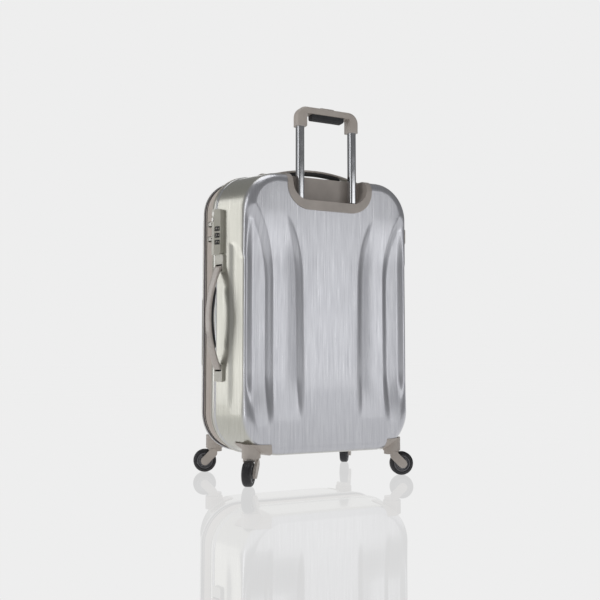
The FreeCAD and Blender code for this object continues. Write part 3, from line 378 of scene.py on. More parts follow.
def fluteDepth(x, z, s):
    # how far the face is sunk: two steps on each side of the middle panel, each a smooth wall along
    # a line that is straight low down and flares outwards higher up; both fade out near the base
    f, ax = fluteForm, np.abs(x)
    rise = np.clip((z - s["flareFrom"]) / (s["flareTo"] - s["flareFrom"]), 0, None)
    outerLine = s["outerX"] + s["outerFlare"] * rise ** f["outerBend"]
    innerLine = (s["innerX"] + s["innerFlare"] * rise ** f["innerBend"]
                 + f["innerLean"] * (z - f["leanHeight"]) / f["leanHeight"])
    inner = smoothStep(ax, innerLine, innerLine + s["innerWall"])
    inner = inner * smoothStep(z, *f["innerStart"]) * (1 - smoothStep(z, *f["innerEnd"]))
    outer = smoothStep(ax, outerLine, outerLine + s["outerWall"] * (1 + f["outerSoften"] * rise))
    outer = outer * smoothStep(z, *f["outerStart"])
    hollow = np.exp(-((ax - (innerLine + outerLine) / 2 - f["hollowShift"]) / f["hollowWide"]) ** 2)
    hollow = hollow * smoothStep(z, *f["hollowStart"]) * (1 - smoothStep(z, *f["hollowEnd"]))
    return s["innerDepth"] * inner + s["outerDepth"] * outer + s["hollowDepth"] * hollow


def trayHalf(s):
    # One half of the case as a closed thin wall. Rings follow the outline from the rim to the edge of
    # the face, each inset by the wall's slope; then they turn a quarter round; the face is a patch
    # blended from its four edges (top + bottom + sides - corners). The inner skin is the same, moved
    # in by the wall.
    columns, rows = s["columns"], s["rows"]
    depth = s["face"] - s["rim"]
    turnStart = depth - s["edgeRound"] * (1 - math.sin(math.atan(case["sideSlope"])))

    def loopAt(t, inset):
        return outline(case["half"] - inset - case["sideSlope"] * t,
                       case["low"] + inset + case["baseSlope"] * t, case["top"] - inset - case["topSlope"] * t,
                       case["lowRadius"] - inset, case["topRadius"] - inset, columns, rows)

    def skin(inset, faceInset):
        rings = []
        for y, proud in s["rings"]:
            loop = loopAt(y - s["rim"], inset)
            proud = proud if inset == s["inset"] else 0
            facet = s["facet"](loop, y) if s.get("facet") else 0
            out = proud - facet
            rings.append(np.stack([loop[:, 0] + loop[:, 2] * out, np.full(len(loop), float(y)),
                                   loop[:, 1] + loop[:, 3] * out, loop[:, 2], loop[:, 3]], -1))
        base = loopAt(turnStart, inset)
        slope = (case["sideSlope"] * base[:, 2] ** 2
                 + np.where(base[:, 3] > 0, case["topSlope"], case["baseSlope"]) * base[:, 3] ** 2)
        lean = np.arctan(slope)
        radius = (depth - faceInset - turnStart) / (1 - np.sin(lean))
        last = -radius * np.cos(lean)
        flute = 0
        if s.get("flutes"):
            flute = fluteDepth(base[:, 0] + base[:, 2] * last, base[:, 1] + base[:, 3] * last, s)
        for part in np.linspace(0, 1, s["turnSteps"] + 1):
            turn = lean + (math.pi / 2 - lean) * part
            out = -radius * (np.cos(lean) - np.cos(turn))
            reach = depth - faceInset - radius * (1 - np.sin(turn))
            sunk = flute * smoothStep(part, 0.15, 1.0)
            facet = s["facet"](base, s["rim"] + turnStart) * (1 - part) ** 1.5 if s.get("facet") else 0
            rings.append(np.stack([base[:, 0] + base[:, 2] * (out - facet), s["rim"] + reach - sunk,
                                   base[:, 1] + base[:, 3] * (out - facet), base[:, 2], base[:, 3]], -1))
        rings = np.stack(rings)
        edge = rings[-1]
        run = np.linalg.norm(np.diff(rings[..., :3], axis=0), axis=-1)
        run = np.concatenate([np.cumsum(run[::-1], axis=0)[::-1], np.zeros((1, len(edge)))])
        uv = np.stack([edge[:, 0] + edge[:, 3] * run, edge[:, 2] + edge[:, 4] * run], -1)
        bottom = edge[:columns, [0, 2]]
        right = edge[columns - 1:columns - 1 + rows, [0, 2]]
        upper = edge[columns + rows - 2:2 * columns + rows - 2, [0, 2]][::-1]
        left = np.concatenate([edge[2 * columns + rows - 3:, [0, 2]], edge[:1, [0, 2]]])[::-1]
        u, v = np.linspace(0, 1, columns)[None, :, None], np.linspace(0, 1, rows)[:, None, None]
        patch = ((1 - v) * bottom[None] + v * upper[None] + (1 - u) * left[:, None] + u * right[:, None]
                 - ((1 - u) * (1 - v) * bottom[0] + u * (1 - v) * bottom[-1] + (1 - u) * v * upper[0]
                    + u * v * upper[-1]))
        sunk = fluteDepth(patch[..., 0], patch[..., 1], s) if s.get("flutes") else np.zeros(patch.shape[:2])
        if s.get("ripple"):
            sunk = sunk + s["ripple"](patch[..., 0], patch[..., 1])
        face = np.stack([patch[..., 0], s["face"] - faceInset - sunk, patch[..., 1]], -1)
        edgeSunk = s["ripple"](edge[:, 0], edge[:, 2]) if s.get("ripple") else 0
        rings[-1, :, 1] = rings[-1, :, 1] - edgeSunk
        return rings[..., :3], face, uv, patch

    parts, loops = [], []
    for inset, faceInset in ((s["inset"], s["faceInset"]),
                             (s["inset"] + s["wall"], s["faceInset"] + s["wall"])):
        rings, face, uv, patch = skin(inset, faceInset)
        count = rings.shape[1]
        ringFaces = gridFaces(len(rings), count, 0, False, True)
        faceFaces = gridFaces(*face.shape[:2])
        for points, quads, place in ((rings, ringFaces, uv), (face, faceFaces, patch)):
            flat = points.reshape(-1, 3)
            middle = flat[quads].mean(axis=1)
            keep = ~s["holes"](middle) if s.get("holes") else np.ones(len(quads), bool)
            flat = flat * [1, s["way"], 1]
            parts.append((flat, quads[keep], place.reshape(-1, 2)))
        loops.append(rings[0] * [1, s["way"], 1])
    rim = np.stack(loops)
    parts.append((rim, gridFaces(2, rim.shape[1], 0, False, True)))
    return parts


def markSideness(piece):
    # 1 where the wall faces sideways, 0 on the broad face, and between them across the rounded edge; it masks
    # the painted side reflection tone
    count = len(piece.data.vertices)
    facing = np.empty(count * 3)
    piece.data.vertices.foreach_get("normal", facing)
    value = 1 - smoothStep(np.abs(facing.reshape(-1, 3)[:, 1]), 0.3, 0.72)
    attribute = piece.data.attributes.new("paintedSideToneMask", "FLOAT", "POINT")
    attribute.data.foreach_set("value", value.astype(np.float32))


facetForm = {"deep": 1.8, "from": 84, "full": 100, "archTop": 505, "archDrop": 34, "archRun": 42,
             "sideways": (0.985, 0.999), "below": 4, "above": 3, "low": (120, 210)}


def rearFacet(loop, y):
    # a shallow flat on each side next to the face, with an arched top
    f = facetForm
    arch = f["archTop"] - np.clip((y - f["from"]) / f["archRun"], 0, 1) ** 2 * f["archDrop"]
    flat = f["deep"] * smoothStep(np.abs(loop[:, 2]), *f["sideways"]) * smoothStep(y, f["from"], f["full"])
    return (flat * (1 - smoothStep(loop[:, 1], arch - f["below"], arch + f["above"]))
            * smoothStep(loop[:, 1], *f["low"]))


# the carry handles and the dials, whose places also cut the shell
handles = {"half": 106, "wide": 22, "thick": 5, "padHalf": 66, "padWide": 18, "padThick": 6.4, "foot": 6,
           "side": (220.1, 58, 346), "top": (0, 64, 656.4), "sideBow": 27, "topBow": 20, "bowHalf": 112,
           "overrun": 1.12, "footDown": 5.4, "waist": 0.22, "waistRun": 0.55, "footSwell": 1.6,
           "ribHigh": 0.22, "ribPitch": 5.5}
dial = {"x": 232.2, "y": 59.5, "z": 521, "pitch": 14.5, "grooves": 28, "grooveDeep": 0.3, "first": (7, 3, 5),
        "numeralHigh": 3.7, "numeralOut": 7.02, "firstTurn": 0.46}
openings = {"cupCorner": (51, 629), "cupRound": 46, "cupHalf": 97, "cupLow": 583, "cupFrom": 99.4,
            "slotHalf": 7.4, "topSlotHalf": 11.8, "sideSlotHalf": 11.2, "topFrom": 640, "sideFrom": 200,
            "dialHalf": 21, "dialWide": 8}


def rearHoles(p):
    # where the trolley cup, the handle ends and the dials go through the shell
    x, y, z = np.abs(p[:, 0]), p[:, 1], p[:, 2]
    o, side, top = openings, handles["side"], handles["top"]
    cupX, cupZ = o["cupCorner"]
    corner = np.hypot(x - cupX, z - cupZ) < o["cupRound"]
    cup = (x < o["cupHalf"]) & (z > o["cupLow"]) & (y > o["cupFrom"]) & (corner | (x < cupX) | (z > cupZ))
    topSlots = ((z > o["topFrom"]) & (np.abs(x - handles["half"]) < o["slotHalf"])
                & (np.abs(y - top[1]) < o["topSlotHalf"]))
    lockSide = p[:, 0] > o["sideFrom"]
    sideSlots = (lockSide & (np.abs(np.abs(z - side[2]) - handles["half"]) < o["slotHalf"])
                 & (np.abs(y - side[1]) < o["sideSlotHalf"]))
    dialSlot = lockSide & (np.abs(z - dial["z"]) < o["dialHalf"]) & (np.abs(y - dial["y"]) < o["dialWide"])
    return cup | topSlots | sideSlots | dialSlot


rearShellSize = {"rim": 30, "face": 145, "edgeRound": 26, "wall": 2.2, "inset": 0, "faceInset": 0, "way": 1,
                 "columns": 150, "rows": 214, "turnSteps": 9, "flutes": True, "flareFrom": 420, "flareTo": 602,
                 "outerX": 133, "outerFlare": 54, "innerX": 66, "innerFlare": 44, "innerWall": 12,
                 "outerWall": 14, "innerDepth": 6.0, "outerDepth": 9.0, "hollowDepth": 2.2, "holes": rearHoles,
                 "facet": rearFacet,
                 "rings": [(30, 0.7), (30.6, 1.4), (42.6, 1.4), (43.6, 0.9), (44.6, 0.1), (46.8, 0), (51.4, 0),
                           (59, 0), (67.6, 0), (69.2, 0), (75.8, 0), (78.2, 0), (84, 0), (89, 0), (94, 0),
                           (99.4, 0), (106, 0), (113, 0), (120, 0)]}
rearShell = buildPiece("rearShell", trayHalf(rearShellSize), "rear_case", finishes["shell"],
                       ("rear_shell",))
markSideness(rearShell)
frontShellSize = dict(rearShellSize, rim=25, innerWall=10, outerWall=11, innerDepth=2.2, outerDepth=2.8,
                      hollowDepth=0.2, way=-1, holes=None, facet=None,
                      rings=[(25, 0.7), (25.6, 1.4), (37.6, 1.4), (38.6, 0.9), (39.6, 0.1), (41, 0), (52, 0),
                             (64, 0), (78, 0), (92, 0), (106, 0), (117, 0)])
frontShell = buildPiece("frontShell", trayHalf(frontShellSize), "front_case", finishes["shell"],
                        ("front_shell",))
markSideness(frontShell)
print("shells made", len(rearShell.data.polygons), len(frontShell.data.polygons))


def softBox(halfWide, halfHigh, radius, steps=4):
    # a closed rounded rectangle about 0, 0
    angle = np.concatenate([np.linspace(k, k + 90, steps) for k in (0, 90, 180, 270)]) * math.pi / 180
    cornerX = np.repeat([1, -1, -1, 1], steps) * (halfWide - radius)
    cornerY = np.repeat([1, 1, -1, -1], steps) * (halfHigh - radius)
    return np.stack([cornerX + radius * np.cos(angle), cornerY + radius * np.sin(angle)], -1)


def toothRow(loop, count, shift, s):
    # One tooth is a half round lug, low at both ends of its length; it is repeated round the loop.
    even = evenLoop(loop, count * 2)[0][shift::2]
    lengths, steps = 4, 5
    bend = np.linspace(0, math.pi, steps)
    stations = np.array([[-1, 0.55], [-0.7, 1], [0.7, 1], [1, 0.55]])
    along = -np.cos(bend)[None, :] * s["toothLong"] / 2 * np.ones((lengths, 1))
    out = np.sin(bend)[None, :] * s["toothHigh"] * stations[:, 1:]
    y = stations[:, :1] * s["toothWide"] / 2 * np.ones((1, steps)) + s["toothY"]
    along, out, y = along.ravel(), out.ravel(), y.ravel()
    tangent = np.stack([-even[:, 3], even[:, 2]], -1)
    x = even[:, :1] + tangent[:, :1] * along + even[:, 2:3] * out
    z = even[:, 1:2] + tangent[:, 1:] * along + even[:, 3:4] * out
    points = np.stack([x, np.broadcast_to(y, x.shape), z], -1)
    ends = np.array([[0, 1, 2, 3], [15, 18, 17, 16], [0, 5, 9, 4], [5, 10, 14, 9], [10, 15, 19, 14]])
    lug = np.concatenate([gridFaces(lengths, steps), ends])
    faces = (lug[None] + (np.arange(len(even)) * lengths * steps)[:, None, None]).reshape(-1, 4)
    return points, faces


zipSize = {"teeth": 560, "toothLong": 2.1, "toothHigh": 1.5, "toothWide": 3.4, "outer": 226.1, "middle": 27,
           "toothIn": 0.7, "tapeHalf": 224.9, "tapeOut": 0.35, "tapePoints": 420, "tape": (1.3, 1.25, 0.4)}
for name, body, nodeName, y, shift in (("rearZipChain", "rear_case", "rear_zip", 28.2, 0),
                                       ("frontZipChain", "front_case", "front_zip", 25.8, 1)):
    side = 1 if y > zipSize["middle"] else -1
    tapeLoop = evenLoop(caseLoop(zipSize["tapeHalf"]), zipSize["tapePoints"])[0]
    tape = sweepRound(tapeLoop, softBox(*zipSize["tape"]) + [0, y + side * zipSize["tapeOut"]])
    teeth = toothRow(caseLoop(zipSize["outer"]), zipSize["teeth"], shift,
                     dict(zipSize, toothY=y - side * zipSize["toothIn"]))
    buildPiece(name, [tape, teeth], body, finishes["zipNylon"], (nodeName,))

expander = {"toothY": -16.2, "teeth": 560, "toothLong": 2.0, "toothHigh": 1.0, "toothWide": 2.2, "outer": 226.2,
            "tapeHalf": 226.0, "tapePoints": 420, "tape": (0.5, 1.8, 0.3)}
tape = sweepRound(evenLoop(caseLoop(expander["tapeHalf"]), expander["tapePoints"])[0],
                  softBox(*expander["tape"]) + [0, expander["toothY"]])
teeth = toothRow(caseLoop(expander["outer"]), expander["teeth"], 0, expander)
buildPiece("expanderZipChain", [tape, teeth], "front_case", finishes["zipNylon"], ("expander_zip",))

# the woven band between the halves: three flat runs with a sewn dip between them
band = {"half": 225.8, "points": 560, "stitchHalf": 225.35, "stitches": 430, "stitchLong": 2.9,
        "stitchHigh": 0.45, "stitchWide": 0.7, "stitchRows": (16.0, -9.5)}
bandOut = np.array([[-2.0, 23.9], [-0.2, 23.9], [0, 23.2], [0.05, 17], [-0.5, 16.2], [-0.5, 15.8], [0.05, 15],
                    [0.1, 4], [0.05, -8], [-0.4, -9.2], [-0.4, -9.8], [0.05, -11], [0.0, -13.6], [-0.7, -14.2],
                    [-0.7, -18.2], [0.0, -18.8], [0.05, -23], [-0.2, -24.6], [-2.0, -24.8]])
bandLoop = evenLoop(caseLoop(band["half"]), band["points"])[0]
buildPiece("wovenBand", [sweepRound(bandLoop, bandOut)], "front_case", finishes["band"], ("front_band",))

# short thread lugs lie along two of the dips
stitchSize = {"toothLong": band["stitchLong"], "toothHigh": band["stitchHigh"], "toothWide": band["stitchWide"]}
stitches = [toothRow(caseLoop(band["stitchHalf"]), band["stitches"], 0, dict(stitchSize, toothY=y))
            for y in band["stitchRows"]]
buildPiece("bandStitches", stitches, "front_case", finishes["cream"], ())

# a cream piping cord lies against each rim
piping = {"radius": 1.25, "half": 228.7, "points": 480, "ring": 12}
turn = np.linspace(0, 2 * math.pi, piping["ring"], endpoint=False)
cordRound = np.stack([np.cos(turn), np.sin(turn)], -1) * piping["radius"]
for name, body, y in (("rearPiping", "rear_case", 31.7), ("frontPiping", "front_case", -26.7)):
    loop = evenLoop(caseLoop(piping["half"]), piping["points"])[0]
    buildPiece(name, [sweepRound(loop, cordRound + [0, y])], body, finishes["cream"], ())

# the fabric hinge is one strip of the band's cloth at the hinge side, spanning from the rear rim to
# the front rim; it is built in place and rides on neither half
hingeSize = {"low": 150, "high": 500, "x": -226.2, "from": 30.0, "to": 24.0, "thick": 0.9, "puff": 0.5,
             "weave": 0.08, "across": 25, "up": 90, "blendFrom": 29.8, "blendTo": 24.2, "middle": 325}
across, up = hingeSize["across"], hingeSize["up"]
y = np.linspace(hingeSize["from"], hingeSize["to"], across)
z = np.linspace(hingeSize["low"], hingeSize["high"], up)
puff = hingeSize["puff"] * np.sin(np.linspace(0, math.pi, across))
outerSkin = np.stack(np.broadcast_arrays(
    hingeSize["x"] - puff[None] - hingeSize["weave"] * np.sin(z / 3.4)[:, None], y[None], z[:, None]), -1)
innerSkin = outerSkin + [hingeSize["thick"], 0, 0]
wrap = np.concatenate([outerSkin, innerSkin[:, ::-1]], axis=1)
capLow = np.concatenate([outerSkin[0], innerSkin[0]])
capHigh = np.concatenate([outerSkin[-1], innerSkin[-1]])
hingeParts = [(wrap, gridFaces(up, 2 * across, 0, False, True)), (capLow, gridFaces(2, across)),
              (capHigh, gridFaces(2, across))]
hinge = buildPiece("hingeStrip", hingeParts, None, finishes["band"], ("rear_hinge", "front_hinge"),
                   ridesOn=False)
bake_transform(hinge)
print("zipper and band made")


low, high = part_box("rear_straps")
packStraps = {"halfWide": high[0] / mm, "halfTall": (high[2] - low[2]) / mm / 2,
              "middle": (low[2] + high[2]) / mm / 2, "endIn": 6, "endUp": 14, "wide": 24, "thick": 1.3,
              "lift": 0.3, "samples": 90, "flatTo": 14, "rippleFrom": 34}


def liningRipple(x, z):
    # slow sags and short gathers in the cloth, pressed flat under the crossed packing straps
    sag = (0.9 * np.sin(x / 31 + 0.6 * np.sin(z / 47)) * np.sin(z / 58) + 0.4 * np.sin(x / 11 + z / 23)
           + 0.6 * np.exp(-((np.abs(x) - 150) / 9) ** 2)) + 1.3
    wide, tall = packStraps["halfWide"], packStraps["halfTall"]
    off = np.abs(np.abs(x) * tall - np.abs(z - packStraps["middle"]) * wide) / math.hypot(wide, tall)
    return sag * smoothStep(off, packStraps["flatTo"], packStraps["rippleFrom"])


rearLiningSize = {"rim": 30, "face": 102, "edgeRound": 24, "wall": 0.9, "inset": 7.6, "faceInset": 0.2,
                  "way": 1, "columns": 90, "rows": 130, "turnSteps": 6, "ripple": liningRipple,
                  "rings": [(30, 0), (33, 0), (38, 0), (46, 0), (55, 0), (64, 0), (73, 0), (80, 0)]}
frontLiningSize = dict(rearLiningSize, rim=25, face=137.2, way=-1,
                       rings=[(25, 0), (28, 0), (34, 0), (46, 0), (60, 0), (76, 0), (92, 0), (106, 0)])
for name, body, nodeName, size in (("rearLiningCloth", "rear_case", "rear_lining", rearLiningSize),
                                   ("frontLiningCloth", "front_case", "front_lining", frontLiningSize)):
    cloth = buildPiece(name, trayHalf(size), body, finishes["lining"], (nodeName,))


def strapRun(start, end, y, s):
    # a webbing run between two points of a plane of constant y, with edges a little thinner and a
    # gentle wave along its length
    t = np.linspace(0, 1, s["samples"])
    centre = np.array(start)[None] * (1 - t[:, None]) + np.array(end)[None] * t[:, None]
    direction = np.array([end[0] - start[0], end[1] - start[1]], float)
    direction /= np.linalg.norm(direction)
    side = np.array([-direction[1], direction[0]])
    wave = s["lift"] * np.sin(t * math.pi * 3) * np.sin(t * math.pi)
    centre3 = np.stack([centre[:, 0], y + wave, centre[:, 1]], -1)
    across = np.tile([side[0], 0, side[1]], (len(t), 1))
    outward = np.tile([0, 1.0, 0], (len(t), 1))
    return sweptForm(centre3, across, outward, np.full(len(t), s["wide"] / 2), np.full(len(t), s["thick"] / 2),
                     0.35, 20)


for name, body, nodeName, back in (("rearPackStraps", "rear_case", "rear_straps", 99.9),
                                   ("frontPackStraps", "front_case", "front_straps", -135.3)):
    low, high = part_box(nodeName)
    x0 = high[0] / mm - packStraps["endIn"]
    z0, z1 = low[2] / mm + packStraps["endUp"], high[2] / mm - packStraps["endUp"]
    zm = (z0 + z1) / 2
    runs = [strapRun((sx * x0, sz), (0, zm), back, packStraps) for sx in (-1, 1) for sz in (z0, z1)]
    buildPiece(name, runs, body, finishes["webbing"], (nodeName,))
print("linings made")

lean = math.atan(case["sideSlope"])
sideTurn = (Matrix.Rotation(lean, 3, "Z") @ Matrix.Rotation(math.pi / 2, 3, "Y"))
places = {"side": (handles["side"], sideTurn, handles["sideBow"]),
          "top": (handles["top"], Matrix.Identity(3), handles["topBow"])}
for which, (where, turn, bow) in places.items():
    matrix, rise = np.array(turn), bow + handles["foot"]
    bend = (handles["bowHalf"] ** 2 + bow ** 2) / (2 * bow)
    t = np.linspace(-1, 1, 161)
    x = handles["half"] * np.sign(t) * np.clip(np.abs(t) * handles["overrun"], 0, 1)
    outside = rise - bend + np.sqrt(bend ** 2 - x ** 2)
    down = smoothStep(np.abs(t), 0.9, 1.0)
    z = (outside - handles["thick"] / 2) * (1 - down) - handles["footDown"] * down
    centre = np.stack([x, 0 * x, z], -1)
    heading = np.gradient(centre, axis=0)
    heading /= np.linalg.norm(heading, axis=1, keepdims=True)
    across = np.tile([0.0, 1, 0], (len(t), 1))
    outward = np.cross(heading, across)
    wide = handles["wide"] / 2 * (1 - handles["waist"] * np.exp(-(t / handles["waistRun"]) ** 4))
    thick = handles["thick"] / 2 + handles["footSwell"] * smoothStep(np.abs(t), 0.72, 0.95)
    form = sweptForm(centre, across, outward, wide, thick, 0.45, 32)
    points = form[0].reshape(-1, 3) @ matrix.T + np.array(where)
    buildPiece(f"{which}HandleStrap", [(points, form[1], form[2])], f"{which}_handle", finishes["taupeGloss"],
               (f"{which}_strap",))
    t = np.linspace(-1, 1, 241)
    x = handles["padHalf"] * t
    # soft grip: crowned over its length, with shallow ribs across it
    fade = np.sqrt(np.clip(1 - np.abs(t) ** 9, 0, 1))
    z = rise - bend + np.sqrt((bend - handles["thick"] - handles["padThick"] / 2) ** 2 - x ** 2)
    centre = np.stack([x, 0 * x, z], -1)
    ribs = handles["ribHigh"] * np.cos(x * 2 * math.pi / handles["ribPitch"]) * (np.abs(t) < 0.9)
    form = sweptForm(centre, np.tile([0.0, 1, 0], (len(t), 1)), np.tile([0, 0, 1.0], (len(t), 1)),
                     (handles["padWide"] / 2 + ribs) * fade,
                     (handles["padThick"] / 2 + 0.5 * ribs) * fade + 0.02, 0.55, 32)
    points = form[0].reshape(-1, 3) @ matrix.T + np.array(where)
    buildPiece(f"{which}HandleGrip", [(points, form[1], form[2])], f"{which}_handle", finishes["gripRubber"],
               (f"{which}_pad",))
print("handles made")

corners = {"rear_left": (1, 1, 54), "rear_right": (-1, 1, 160), "front_left": (1, -1, -16),
           "front_right": (-1, -1, 236)}
wheel = {"x": 170, "y": 112, "trail": 22, "radius": 26, "ribs": 6, "ribHigh": 2.4}
bend = np.linspace(0, math.pi / 2, 7)
tyreHalf = [(4.2 + 5.8 * math.sin(a), 20 + 6 * math.cos(a)) for a in bend]
# the tread has a shallow groove 2.2 mm each side of its middle
treadAt = (-3.4, -2.8, -2.5, -2.2, -1.9, -1.6, -0.8, 0.8, 1.6, 1.9, 2.2, 2.5, 2.8, 3.4)
tread = [(a, 26.0 - 0.45 * max(0.0, 1 - abs(abs(a) - 2.2) / 0.6)) for a in treadAt]
tyreProfile = ([(-a, r) for a, r in tyreHalf[::-1]] + tread + tyreHalf
               + [(9.9, 18.8), (9.4, 18.15), (0, 18.05), (-9.4, 18.15), (-9.9, 18.8)])
rimProfile = ([(-9.2, 17.9), (9.2, 17.9), (9.5, 17.4), (9.5, 15.9), (9.0, 15.5), (6.6, 15.2), (6.1, 14.6)]
              + [(6.1, r) for r in (13, 11, 9, 7.6)]
              + [(6.6, 7.0), (9.2, 6.7), (9.5, 6.2), (9.5, 4.0), (8.8, 3.2)]
              + [(-8.8, 3.2), (-9.5, 4.0), (-9.5, 6.2), (-9.2, 6.7), (-6.6, 7.0)]
              + [(-6.1, r) for r in (7.6, 9, 11, 13)]
              + [(-6.1, 14.6), (-6.6, 15.2), (-9.0, 15.5), (-9.5, 15.9), (-9.5, 17.4)])


def spokes(angle, axial, radius):
    # raises six ribs from the sunk web of the rim towards its faces
    web = smoothStep(radius, 6.9, 7.9) * (1 - smoothStep(radius, 13.6, 14.9)) * (np.abs(axial) < 6.3)
    rib = smoothStep(np.cos(angle * wheel["ribs"]), 0.55, 0.85)
    return axial + np.sign(axial) * wheel["ribHigh"] * web * rib, radius


for tag, (sx, sy, turn) in corners.items():
    a = math.radians(turn)
    centre = (sx * wheel["x"] + wheel["trail"] * math.cos(a), sy * wheel["y"] + wheel["trail"] * math.sin(a),
              wheel["radius"])
    axis = (-math.sin(a), math.cos(a), 0)
    buildPiece(f"tyre_{tag}_moulded", [lathe(tyreProfile, centre, axis, 120)], f"wheel_{tag}",
               finishes["tyreRubber"], (f"tyre_{tag}",))
    buildPiece(f"rim_{tag}_spoked", [lathe(rimProfile, centre, axis, 144, spokes)], f"wheel_{tag}",
               finishes["rimSilver"], (f"rim_{tag}",))
print("casters made")

lockLean = math.radians(11.2)


def leanedPoint(x, y, z):
    # a point of the upright lock turned about the rim's edge by the lock's lean
    edgeX, edgeY = case["half"], rearShellSize["rim"]
    dx, dy = x - edgeX, y - edgeY
    return (edgeX + dx * math.cos(lockLean) - dy * math.sin(lockLean),
            edgeY + dx * math.sin(lockLean) + dy * math.cos(lockLean), z)


dialProfile = [(-4.4, 2.4), (-4.4, 6.6), (-4.0, 7.2), (-2.9, 7.4), (-2.6, 6.9), (2.6, 6.9), (2.9, 7.4),
               (4.0, 7.2), (4.4, 6.6), (4.4, 2.4)]


def knurl(angle, axial, radius):
    # fine grip grooves round both raised edges of the dial
    edge = smoothStep(radius, 7.0, 7.3)
    return axial, radius - dial["grooveDeep"] * edge * (0.5 - 0.5 * np.cos(angle * dial["grooves"]))


def digitMesh(text, height):
    # the outline of one numeral as flat points and faces, centred, in mm
    curve = bpy.data.curves.new("numeral", "FONT")
    curve.body, curve.size, curve.extrude = text, 1.0, 0.0
    curve.resolution_u = 3
    holder = bpy.data.objects.new("numeral", curve)
    bpy.context.scene.collection.objects.link(holder)
    bpy.context.view_layer.update()
    mesh = bpy.data.meshes.new_from_object(holder.evaluated_get(bpy.context.evaluated_depsgraph_get()))
    co = np.array([v.co[:2] for v in mesh.vertices])
    co = (co - (co.max(0) + co.min(0)) / 2) * height / (co[:, 1].max() - co[:, 1].min())
    faces = [tuple(p.vertices) for p in mesh.polygons]
    bpy.data.objects.remove(holder)
    bpy.data.curves.remove(curve)
    bpy.data.meshes.remove(mesh)
    return co, faces


numerals = {str(n): digitMesh(str(n), dial["numeralHigh"]) for n in range(10)}
for k in (1, 2, 3):
    centre = leanedPoint(dial["x"], dial["y"], dial["z"] + (k - 2) * dial["pitch"])
    buildPiece(f"dialDrum_{k}", [lathe(dialProfile, centre, (0, 0, 1), 180, knurl)], f"dial_{k}",
               finishes["blackSatin"], (f"dial_{k}",))
    points, faces, count = [], [], 0
    for n in range(10):
        flat, tri = numerals[str((n + dial["first"][k - 1]) % 10)]
        radius = dial["numeralOut"]
        angle = lockLean + dial["firstTurn"] + n * math.pi / 5 + flat[:, 0] / radius
        points.append(np.stack([centre[0] + radius * np.cos(angle), centre[1] + radius * np.sin(angle),
                                centre[2] + flat[:, 1]], -1))
        faces += [tuple(i + count for i in f) for f in tri]
        count += len(flat)
    mesh = bpy.data.meshes.new(f"dialNumerals_{k}")
    mesh.from_pydata((np.concatenate(points) * mm).tolist(), [], faces)
    mesh.materials.append(finishes["cream"])
    marks = bpy.data.objects.new(f"dialNumerals_{k}", mesh)
    bpy.context.scene.collection.objects.link(marks)
    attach(marks, f"dial_{k}")
print("dials made")

# the pieces that keep their designed shape, and the finish of each
kept = {"trolley_cup": "taupeSatin", "fixed_tubes": "tubeInner", "middle_tubes": "tubeInner",
        "middle_bushes": "blackSatin", "upper_tubes": "tubeChrome", "tube_bracket": "blackSatin",
        "grip": "lightTaupe", "grip_insert": "gripRubber", "release_button": "taupeGloss",
        "side_mounts": "champagne", "top_mounts": "taupeSatin", "lock_case": "champagne",
        "lock_docks": "cream", "lock_push": "brightSteel", "key_core": "brightSteel", "side_foot": "lightTaupe",
        "slider_lower": "sliderZinc", "slider_upper": "sliderZinc", "pull_lower": "sliderZinc",
        "pull_upper": "sliderZinc", "rear_buckle": "blackSatin", "front_buckle": "blackSatin"}
for tag in corners:
    kept[f"housing_{tag}"] = "lightTaupe"
    kept[f"fork_{tag}"] = "lightTaupe"
for nodeName, finishName in kept.items():
    node = nodes[nodeName]
    if not node.material_slots:
        node.data.materials.append(None)
    for place in node.material_slots:
        place.material = finishes[finishName]
print("finishes set")

stage = {"tone": "#eeeeee", "dim": 0.2, "mirror": 0.24, "reach": 30}


def stageFinish(name):
    # Polished acrylic over a pale sweep: an even glow that meets the backdrop without a line, and a
    # sharp thin mirror whose strength wanders a little.
    finish, tree = newFinish(name)
    place = addNode(tree, "ShaderNodeTexCoord")
    slow = addNode(tree, "ShaderNodeTexNoise", {"Scale": 3.0, "Detail": 2.0}, {"Vector": (place, "Object")})
    share = addNode(tree, "ShaderNodeMapRange",
                    {"From Min": 0.3, "From Max": 0.7, "To Min": stage["mirror"] * 0.9,
                     "To Max": stage["mirror"] * 1.1}, {"Value": (slow, "Fac")})
    glow = addNode(tree, "ShaderNodeEmission", {"Color": linear(stage["tone"]), "Strength": 1.0})
    gloss = addNode(tree, "ShaderNodeBsdfGlossy", {"Color": linear("#ffffff"), "Roughness": 0.0})
    both = addNode(tree, "ShaderNodeMixShader", None,
                   {0: (share, "Result"), 1: (glow, "Emission"), 2: (gloss, "BSDF")})
    addNode(tree, "ShaderNodeOutputMaterial", None, {"Surface": (both, "Shader")})
    return finish


floorMesh = bpy.data.meshes.new("floor")
reach = stage["reach"]
floorMesh.from_pydata([(-reach, -reach, 0), (reach, -reach, 0), (reach, reach, 0), (-reach, reach, 0)], [],
                      [(0, 1, 2, 3)])
floorMesh.materials.append(stageFinish("paleFloor"))
floor = bpy.data.objects.new("floor", floorMesh)
bpy.context.scene.collection.objects.link(floor)

world = bpy.data.worlds.new("studio")
world.use_nodes = True
tree = world.node_tree
tree.nodes.clear()
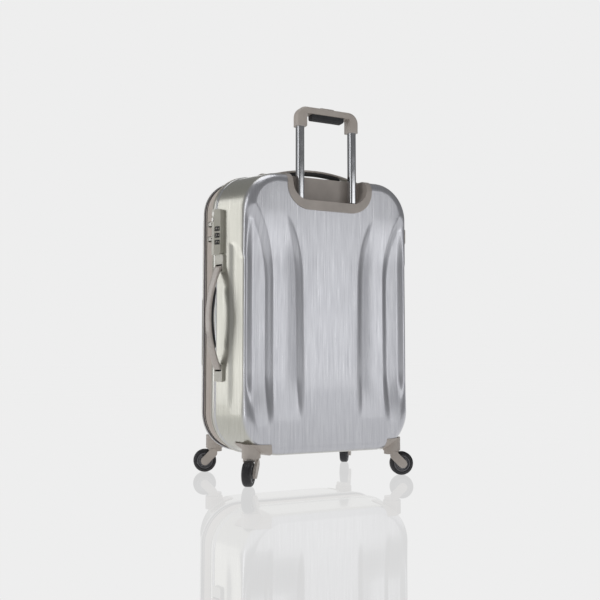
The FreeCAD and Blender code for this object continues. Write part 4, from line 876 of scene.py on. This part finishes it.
# the backdrop, and its image in the floor, is an even pale grey; everything else reflects a dimmer
# room with soft boxes in it
seen = addNode(tree, "ShaderNodeBackground", {"Color": linear(stage["tone"]), "Strength": 1.0})
room = addNode(tree, "ShaderNodeBackground", {"Color": linear("#ffffff"), "Strength": stage["dim"]})
ray = addNode(tree, "ShaderNodeLightPath")
plain = addNode(tree, "ShaderNodeMath", {"operation": "MAXIMUM"},
                {0: (ray, "Is Camera Ray"), 1: (ray, "Is Singular Ray")})
both = addNode(tree, "ShaderNodeMixShader", None,
               {0: (plain, "Value"), 1: (room, "Background"), 2: (seen, "Background")})
addNode(tree, "ShaderNodeOutputWorld", None, {"Surface": (both, "Shader")})
bpy.context.scene.world = world


# the lamps light the object and not the sweep, which glows evenly by itself
unlit = bpy.data.collections.new("unlitSweep")
unlit.objects.link(floor)
unlit.collection_objects[0].light_linking.link_state = "EXCLUDE"


def softLight(name, place, aim, size, power):
    light = bpy.data.lights.new(name, "AREA")
    light.shape, light.size, light.size_y, light.energy = "RECTANGLE", size[0], size[1], power
    lamp = bpy.data.objects.new(name, light)
    lamp.location = place
    lamp.rotation_euler = (Vector(aim) - Vector(place)).to_track_quat("-Z", "Y").to_euler()
    lamp.visible_camera = False
    lamp.light_linking.receiver_collection = unlit
    bpy.context.scene.collection.objects.link(lamp)


softLight("faceLight", (-1.45, 3.0, 0.72), (0, 0.1, 0.42), (0.9, 1.3), 5.4)
softLight("farLight", (-1.2, -2.8, 1.4), (0, 0, 0.4), (1.6, 1.6), 6)
softLight("edgeLight", (2.4, 0.75, 0.8), (0.2, 0.1, 0.4), (0.5, 2.2), 10)
softLight("sideLight", (2.3, -1.7, 0.9), (0.2, 0, 0.4), (1.0, 2.2), 12)
softLight("topLight", (0.3, 0.2, 3.0), (0, 0, 0.4), (2.0, 1.4), 16)

shot = {"place": (0.798, 1.648, 0.259), "yaw": 25.72, "pitch": 4.24, "lens": 47.64, "sensor": 36, "far": 100}
camera = bpy.data.cameras.new("camera")
camera.lens, camera.sensor_width, camera.clip_end = shot["lens"], shot["sensor"], shot["far"]
view = bpy.data.objects.new("camera", camera)
yaw, pitch = math.radians(shot["yaw"]), math.radians(shot["pitch"])
aim = Vector((-math.sin(yaw) * math.cos(pitch), -math.cos(yaw) * math.cos(pitch), math.sin(pitch)))
view.location = shot["place"]
view.rotation_euler = aim.to_track_quat("-Z", "Y").to_euler()
bpy.context.scene.collection.objects.link(view)
bpy.context.scene.camera = view
bpy.context.scene.view_settings.view_transform = "Standard"

print("stage set")
